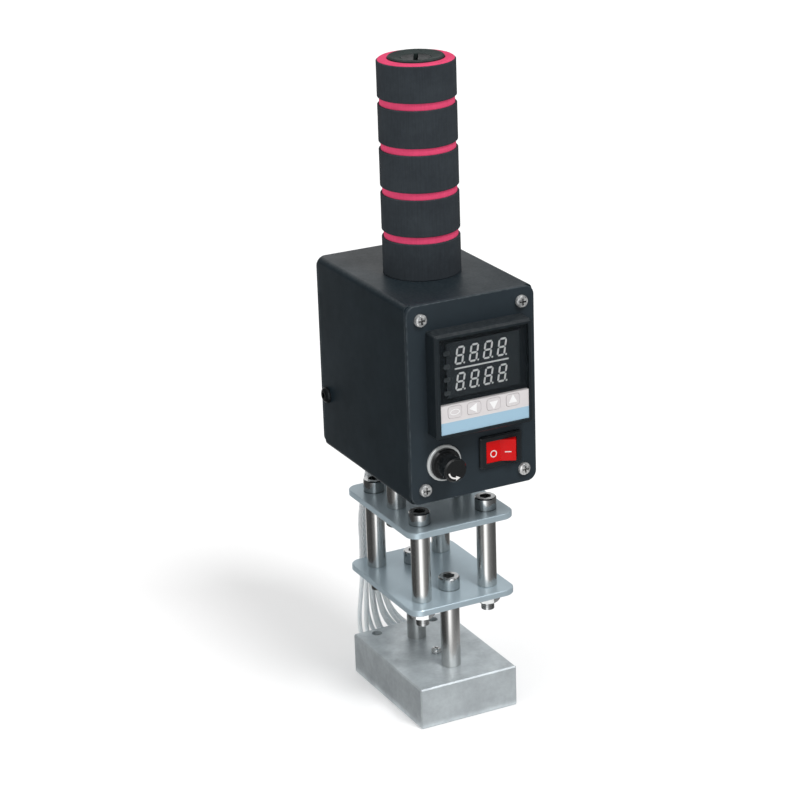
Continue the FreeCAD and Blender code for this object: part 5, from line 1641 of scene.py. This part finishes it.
@dataclass
class Handle(SubAssembly):
    """The upright handle: a tube in a two-colour foam grip, closed by a cap."""

    finishes: ClassVar[Mapping[str, Finish]] = {
        "handle_tube": TUBE_STEEL,
        "handle_cap": CAP_PLASTIC,
        "handle_plug": BLACK_PLASTIC,
        "handle_screw": BLUED_STEEL,
        "handle_fasteners": SCREW_STEEL,
    }
    bottom_z: float = 207.5 * MM
    length: float = 96.5 * MM
    radius: float = 17.5 * MM
    core_radius: float = 16.6 * MM
    tube_radius: float = 12.5 * MM
    groove_width: float = 3.1 * MM
    groove_count: int = 4
    cut_edge: float = 0.35 * MM
    top_edge: float = 1.0 * MM
    lip_height: float = 0.6 * MM
    lip_length: float = 3.0 * MM
    lip_inset: float = 0.4 * MM
    band_overlap: float = 0.2 * MM
    tube_gap: float = 0.1 * MM
    sides: int = 150
    step: float = 0.6 * MM
    unevenness: float = 0.09 * MM

    def foam_tree(self) -> bpy.types.NodeTree:
        """Makes the tree that turns stacked foam rings with rounded edges.

        Returns:
            The tree.
        """
        graph, given, result = new_tree("foam_rings", "GeometryNodeTree", {
            "Count": 1,
            "Pitch": 20.0 * MM,
            "Inner Radius": 12.5 * MM,
            "Outer Radius": 17.5 * MM,
            "Length": 16.0 * MM,
            "Edge": 0.3 * MM,
            "Top Edge": 0.3 * MM,
            "Sides": 150,
            "Step": 0.6 * MM,
            "Unevenness": 0.1 * MM,
            "Dents": 160.0,
            "Material": SocketKind.MATERIAL,
        }, {"Rings": SocketKind.SHAPE})
        wall = graph.minus(given["Outer Radius"], given["Inner Radius"])
        middle = graph.times(graph.plus(given["Outer Radius"], given["Inner Radius"]), 0.5)
        section = graph.add("GeometryNodeCurvePrimitiveQuadrilateral", {
            "Width": wall, "Height": given["Length"],
        }).outputs[0]
        place = graph.position()
        top = graph.math("LESS_THAN", place[1], 0.0)
        outside = graph.math("GREATER_THAN", place[0], 0.0)
        corner = graph.times(top, outside)
        more = graph.times(corner, graph.minus(given["Top Edge"], given["Edge"]))
        rounded = graph.add("GeometryNodeFilletCurve", {
            "Curve": section, "Radius": graph.plus(given["Edge"], more), "Count": 6,
        }, mode="POLY")
        even = graph.add("GeometryNodeResampleCurve", {
            "Curve": rounded.outputs[0], "Length": given["Step"],
        }, mode="LENGTH")
        circle = graph.add("GeometryNodeCurvePrimitiveCircle", {
            "Resolution": given["Sides"], "Radius": middle,
        }).outputs[0]
        upright = graph.add("GeometryNodeSetCurveNormal", {0: circle}, mode="Z_UP").outputs[0]
        ring = graph.add("GeometryNodeCurveToMesh", {
            "Curve": upright, "Profile Curve": even.outputs[0],
        }).outputs[0]
        slow = graph.add("ShaderNodeTexNoise", {
            "Scale": given["Dents"], "Detail": 2.0,
        }).outputs[0]
        shift = graph.times(graph.minus(slow, 0.5), given["Unevenness"])
        outward = graph.add("ShaderNodeVectorMath", {
            0: graph.add("GeometryNodeInputNormal").outputs[0], "Scale": shift,
        }, operation="SCALE").outputs[0]
        soft = graph.add("GeometryNodeSetPosition", {
            "Geometry": ring, "Offset": outward,
        }).outputs[0]
        stack = graph.add("GeometryNodeMeshLine", {
            "Count": given["Count"], "Offset": graph.vector(0.0, 0.0, given["Pitch"]),
            "Start Location": graph.vector(0.0, 0.0, graph.times(given["Length"], 0.5)),
        })
        placed = graph.add("GeometryNodeInstanceOnPoints", {
            "Points": stack.outputs[0], "Instance": soft,
        })
        graph.deliver(result["Rings"], placed.outputs[0], given["Material"])
        return graph.tree

    def add_pieces(self) -> None:
        """Adds the dark foam bands and the red foam core."""
        tree = self.foam_tree()
        band = (self.length - self.groove_count * self.groove_width) / (self.groove_count + 1)
        pitch = band + self.groove_width
        foam = {"Sides": self.sides, "Step": self.step, "Unevenness": self.unevenness,
                "Edge": self.cut_edge, "Top Edge": self.cut_edge, "Pitch": pitch, "Count": 1}
        black = foam | {"Inner Radius": self.core_radius - self.band_overlap,
                        "Outer Radius": self.radius, "Length": band,
                        "Material": BLACK_FOAM.material()}
        red = foam | {"Inner Radius": self.tube_radius + self.tube_gap,
                      "Outer Radius": self.core_radius, "Length": self.length,
                      "Material": RED_FOAM.material()}
        bands = black | {"Count": self.groove_count}
        top_band = black | {"Length": band - self.lip_height}
        core = red | {"Step": 2 * self.step}
        lip = red | {"Outer Radius": self.radius - self.lip_inset, "Length": self.lip_length,
                     "Top Edge": self.top_edge}
        for name, values, lift, finish, slot, node in (
                ("foam_bands", bands, 0.0, BLACK_FOAM, "black_foam", "grip_bands"),
                ("foam_top_band", top_band, self.groove_count * pitch, BLACK_FOAM, "black_foam",
                 "grip_bands"),
                ("foam_core", core, 0.0, RED_FOAM, "red_foam", "grip_core"),
                ("foam_lip", lip, self.length - self.lip_length, RED_FOAM, "red_foam",
                 "grip_core")):
            mesh = grow(name, tree, values)
            mesh.transform(Matrix.Translation((0.0, 0.0, self.bottom_z + lift)))
            smooth_sides(mesh)
            piece = settle(name, mesh, finish, Body.MACHINE, (node,))


@dataclass(frozen=True)
class CardRow:
    """One level of the ring of card: where it runs and its tone in each direction.

    Attributes:
        radius: Its distance from the machine's axis.
        height: Its height.
        tones: Directions in degrees, 0 in front and 90 to the right, and the brightness there.
        footprint: Half the width and depth of the rectangle that it stays inside.
    """

    radius: float
    height: float
    tones: tuple[Pair, ...]
    footprint: Pair = (1.0, 1.0)

    LEAST_SHARE: ClassVar[float] = 1e-6

    def point(self, azimuth: float) -> Point:
        """Gives its place in a direction, no further out than its footprint's sides."""
        turn = math.radians(azimuth)
        across, along = math.sin(turn), -math.cos(turn)
        radius = min(self.radius, self.footprint[0] / max(abs(across), self.LEAST_SHARE),
                     self.footprint[1] / max(abs(along), self.LEAST_SHARE))
        return radius * across, radius * along, self.height

    def tone(self, azimuth: float) -> float:
        """Gives the brightness in a direction, where 1 is white."""
        for (start, low), (end, high) in zip(self.tones, self.tones[1:]):
            if azimuth <= end:
                return low + (high - low) * (azimuth - start) / (end - start)
        return self.tones[-1][1]


NEAR_TONES = ((-180.0, 0.5), (-150.0, 0.12), (-125.0, 0.04), (-62.0, 0.04), (-40.0, 0.25),
              (-28.0, 0.42), (60.0, 0.38), (100.0, 0.35), (150.0, 0.5), (180.0, 0.5))
SIDE_TONES = ((-180.0, 0.95), (-168.0, 0.75), (-150.0, 0.08), (-86.0, 0.06), (-62.0, 0.20),
              (-46.0, 0.34), (-36.0, 1.60), (-26.0, 1.90), (-16.0, 1.40), (-4.0, 0.55),
              (10.0, 0.26), (30.0, 0.16), (60.0, 0.10), (100.0, 0.12), (130.0, 0.35),
              (150.0, 0.90), (180.0, 0.95))
TOP_TONES = ((-180.0, 0.25), (180.0, 0.25))


@dataclass(frozen=True)
class Lamp:
    """A far lamp with soft shadows.

    Attributes:
        name: Its name.
        power: Its strength.
        softness: The angle that it fills, in degrees.
        azimuth: Its direction in degrees, 0 in front and 90 to the right.
        elevation: Its height above the level, in degrees.
        mirrored: Whether gloss mirrors it.
    """

    name: str
    power: float
    softness: float
    azimuth: float
    elevation: float
    mirrored: bool = True


def direction(azimuth: float, elevation: float) -> Vector:
    """Gives the way out to a direction in degrees, 0 in front and 90 to the right."""
    turn, rise = math.radians(azimuth), math.radians(elevation)
    return Vector((math.sin(turn) * math.cos(rise), -math.cos(turn) * math.cos(rise),
                   math.sin(rise)))


@dataclass
class Studio:
    """A pale floor, soft light, a ring of card and the camera."""

    azimuth: float = -26.39
    elevation: float = 20.21
    roll: float = -1.95
    distance: float = 1.14139
    target_across: float = -0.01095
    target_height: float = 0.14527
    focal_pixels: float = 2509.38
    image_size: int = 800
    principal: Pair = (402.17, 401.50)
    sensor: float = 36.0
    floor_half: float = 8.0
    floor_colour: Colour = (0.82, 0.82, 0.82)
    floor_lift: float = 0.22
    sky_level: float = 0.6
    lamp_distance: float = 2.0
    lamps: tuple[Lamp, ...] = (Lamp("soft_key", 1.6, 18.0, 14.0, 54.0),
                               Lamp("wide_fill", 0.55, 70.0, -78.0, 30.0, mirrored=False))
    card_rows: tuple[CardRow, ...] = (
        CardRow(0.048, 0.001, NEAR_TONES, (0.0265, 0.0365)),
        CardRow(0.086, 0.0015, NEAR_TONES),
        CardRow(0.097, 0.002, SIDE_TONES), CardRow(0.150, 0.030, SIDE_TONES),
        CardRow(0.170, 0.060, SIDE_TONES), CardRow(0.175, 0.330, SIDE_TONES),
        CardRow(0.175, 0.345, TOP_TONES), CardRow(0.150, 0.480, TOP_TONES))
    card_sides: int = 144

    def build(self) -> None:
        """Builds the whole studio, camera first."""
        self.add_camera()
        self.add_sky()
        self.add_floor()
        self.add_lamps()
        self.add_cards()

    def add_camera(self) -> None:
        """Adds the camera at the photograph's place."""
        turn, lean = math.radians(self.azimuth), math.radians(self.roll)
        back = direction(self.azimuth, self.elevation)
        level = Vector((math.cos(turn), math.sin(turn), 0.0))
        upright = back.cross(level)
        right = math.cos(lean) * level + math.sin(lean) * upright
        up = -math.sin(lean) * level + math.cos(lean) * upright
        place = level * self.target_across + Vector((0.0, 0.0, self.target_height))
        lens = bpy.data.cameras.new("photo_camera")
        lens.sensor_width = self.sensor
        lens.lens = self.focal_pixels * self.sensor / self.image_size
        lens.shift_x = (self.image_size / 2 - self.principal[0]) / self.image_size
        lens.shift_y = (self.principal[1] - self.image_size / 2) / self.image_size
        lens.clip_start = 0.05
        lens.clip_end = 60.0
        camera = new_object("photo_camera", lens)
        turned = Matrix((right, up, back)).transposed().to_4x4()
        camera.matrix_world = Matrix.Translation(place + back * self.distance) @ turned
        bpy.context.scene.camera = camera

    def seen(self, graph: Graph) -> bpy.types.NodeSocket:
        """Gives 1 for rays that show the background: straight, mirrored or through glass."""
        rays = graph.add("ShaderNodeLightPath").outputs
        either = graph.math("MAXIMUM", rays["Is Camera Ray"], rays["Is Glossy Ray"])
        return graph.math("MAXIMUM", either, rays["Is Transmission Ray"])

    def add_sky(self) -> None:
        """Adds an even sky that shows white and lights at a plain level."""
        world = bpy.data.worlds.new("studio_sky")
        world.use_nodes = True
        world.node_tree.nodes.clear()
        graph = Graph(world.node_tree)
        strength = graph.remap(self.seen(graph), 0.0, 1.0, self.sky_level, 1.0)
        sky = graph.add("ShaderNodeBackground", {"Color": (1.0, 1.0, 1.0), "Strength": strength})
        graph.add("ShaderNodeOutputWorld", {"Surface": sky.outputs[0]})
        bpy.context.scene.world = world

    def add_floor(self) -> None:
        """Adds the floor, which shows white and keeps the machine's shadow."""
        material, graph = new_material("studio_floor")
        matt = graph.add("ShaderNodeBsdfDiffuse", {"Color": self.floor_colour})
        lift = graph.times(self.seen(graph), self.floor_lift)
        glow = graph.add("ShaderNodeEmission", {"Color": (1.0, 1.0, 1.0), "Strength": lift})
        both = graph.add("ShaderNodeAddShader", {0: matt.outputs[0], 1: glow.outputs[0]})
        graph.add("ShaderNodeOutputMaterial", {"Surface": both.outputs[0]})
        mesh = bpy.data.meshes.new("studio_floor")
        half = self.floor_half
        mesh.from_pydata([(-half, -half, 0.0), (half, -half, 0.0), (half, half, 0.0),
                          (-half, half, 0.0)], [], [(0, 1, 2, 3)])
        mesh.materials.append(material)
        floor = new_object("studio_floor", mesh)

    def add_lamps(self) -> None:
        """Hangs a soft key at the front right and a wide, weak fill at the left."""
        for lamp in self.lamps:
            light = bpy.data.lights.new(lamp.name, "SUN")
            light.energy = lamp.power
            light.angle = math.radians(lamp.softness)
            away = direction(lamp.azimuth, lamp.elevation)
            hung = new_object(lamp.name, light)
            hung.location = Vector((0.0, 0.0, self.target_height)) + away * self.lamp_distance
            hung.rotation_mode = "QUATERNION"
            hung.rotation_quaternion = (-away).to_track_quat("-Z", "Y")
            hung.visible_camera = False
            hung.visible_glossy = lamp.mirrored

    def add_cards(self) -> None:
        """Adds a ring of toned card round the machine, which only its gloss mirrors."""
        material, graph = new_material("studio_card")
        tone = graph.add("ShaderNodeAttribute", attribute_name="tone").outputs["Fac"]
        glow = graph.add("ShaderNodeEmission", {"Color": (1.0, 1.0, 1.0), "Strength": tone})
        graph.add("ShaderNodeOutputMaterial", {"Surface": glow.outputs[0]})
        material.cycles.emission_sampling = "NONE"
        points, tones = [], []
        for step in range(self.card_sides):
            azimuth = 360.0 * step / self.card_sides - 180.0
            for row in self.card_rows:
                points.append(row.point(azimuth))
                tones.append(row.tone(azimuth))
        rows = len(self.card_rows)
        faces = []
        for step in range(self.card_sides):
            after = (step + 1) % self.card_sides
            for row in range(rows - 1):
                faces.append((step * rows + row, after * rows + row, after * rows + row + 1,
                              step * rows + row + 1))
        mesh = bpy.data.meshes.new("studio_card")
        mesh.from_pydata(points, [], faces)
        mesh.attributes.new("tone", "FLOAT", "POINT").data.foreach_set("value", tones)
        mesh.materials.append(material)
        card = new_object("studio_card", mesh)
        card.visible_camera = False
        card.visible_diffuse = False
        card.visible_shadow = False
        card.visible_transmission = False


def main() -> None:
    """Builds the studio and every sub-assembly."""
    logging.basicConfig(level=logging.INFO, format="%(name)s: %(message)s")
    bpy.context.scene.view_settings.view_transform = "Standard"
    Studio().build()
    for part in (LeadHarness(), HeatedBlock(), PillarFrame(), ControlBox(), Controller(),
                 RockerSwitch(), FuseHolder(), Handle()):
        part.build()


if __name__ == "__main__":
    main()
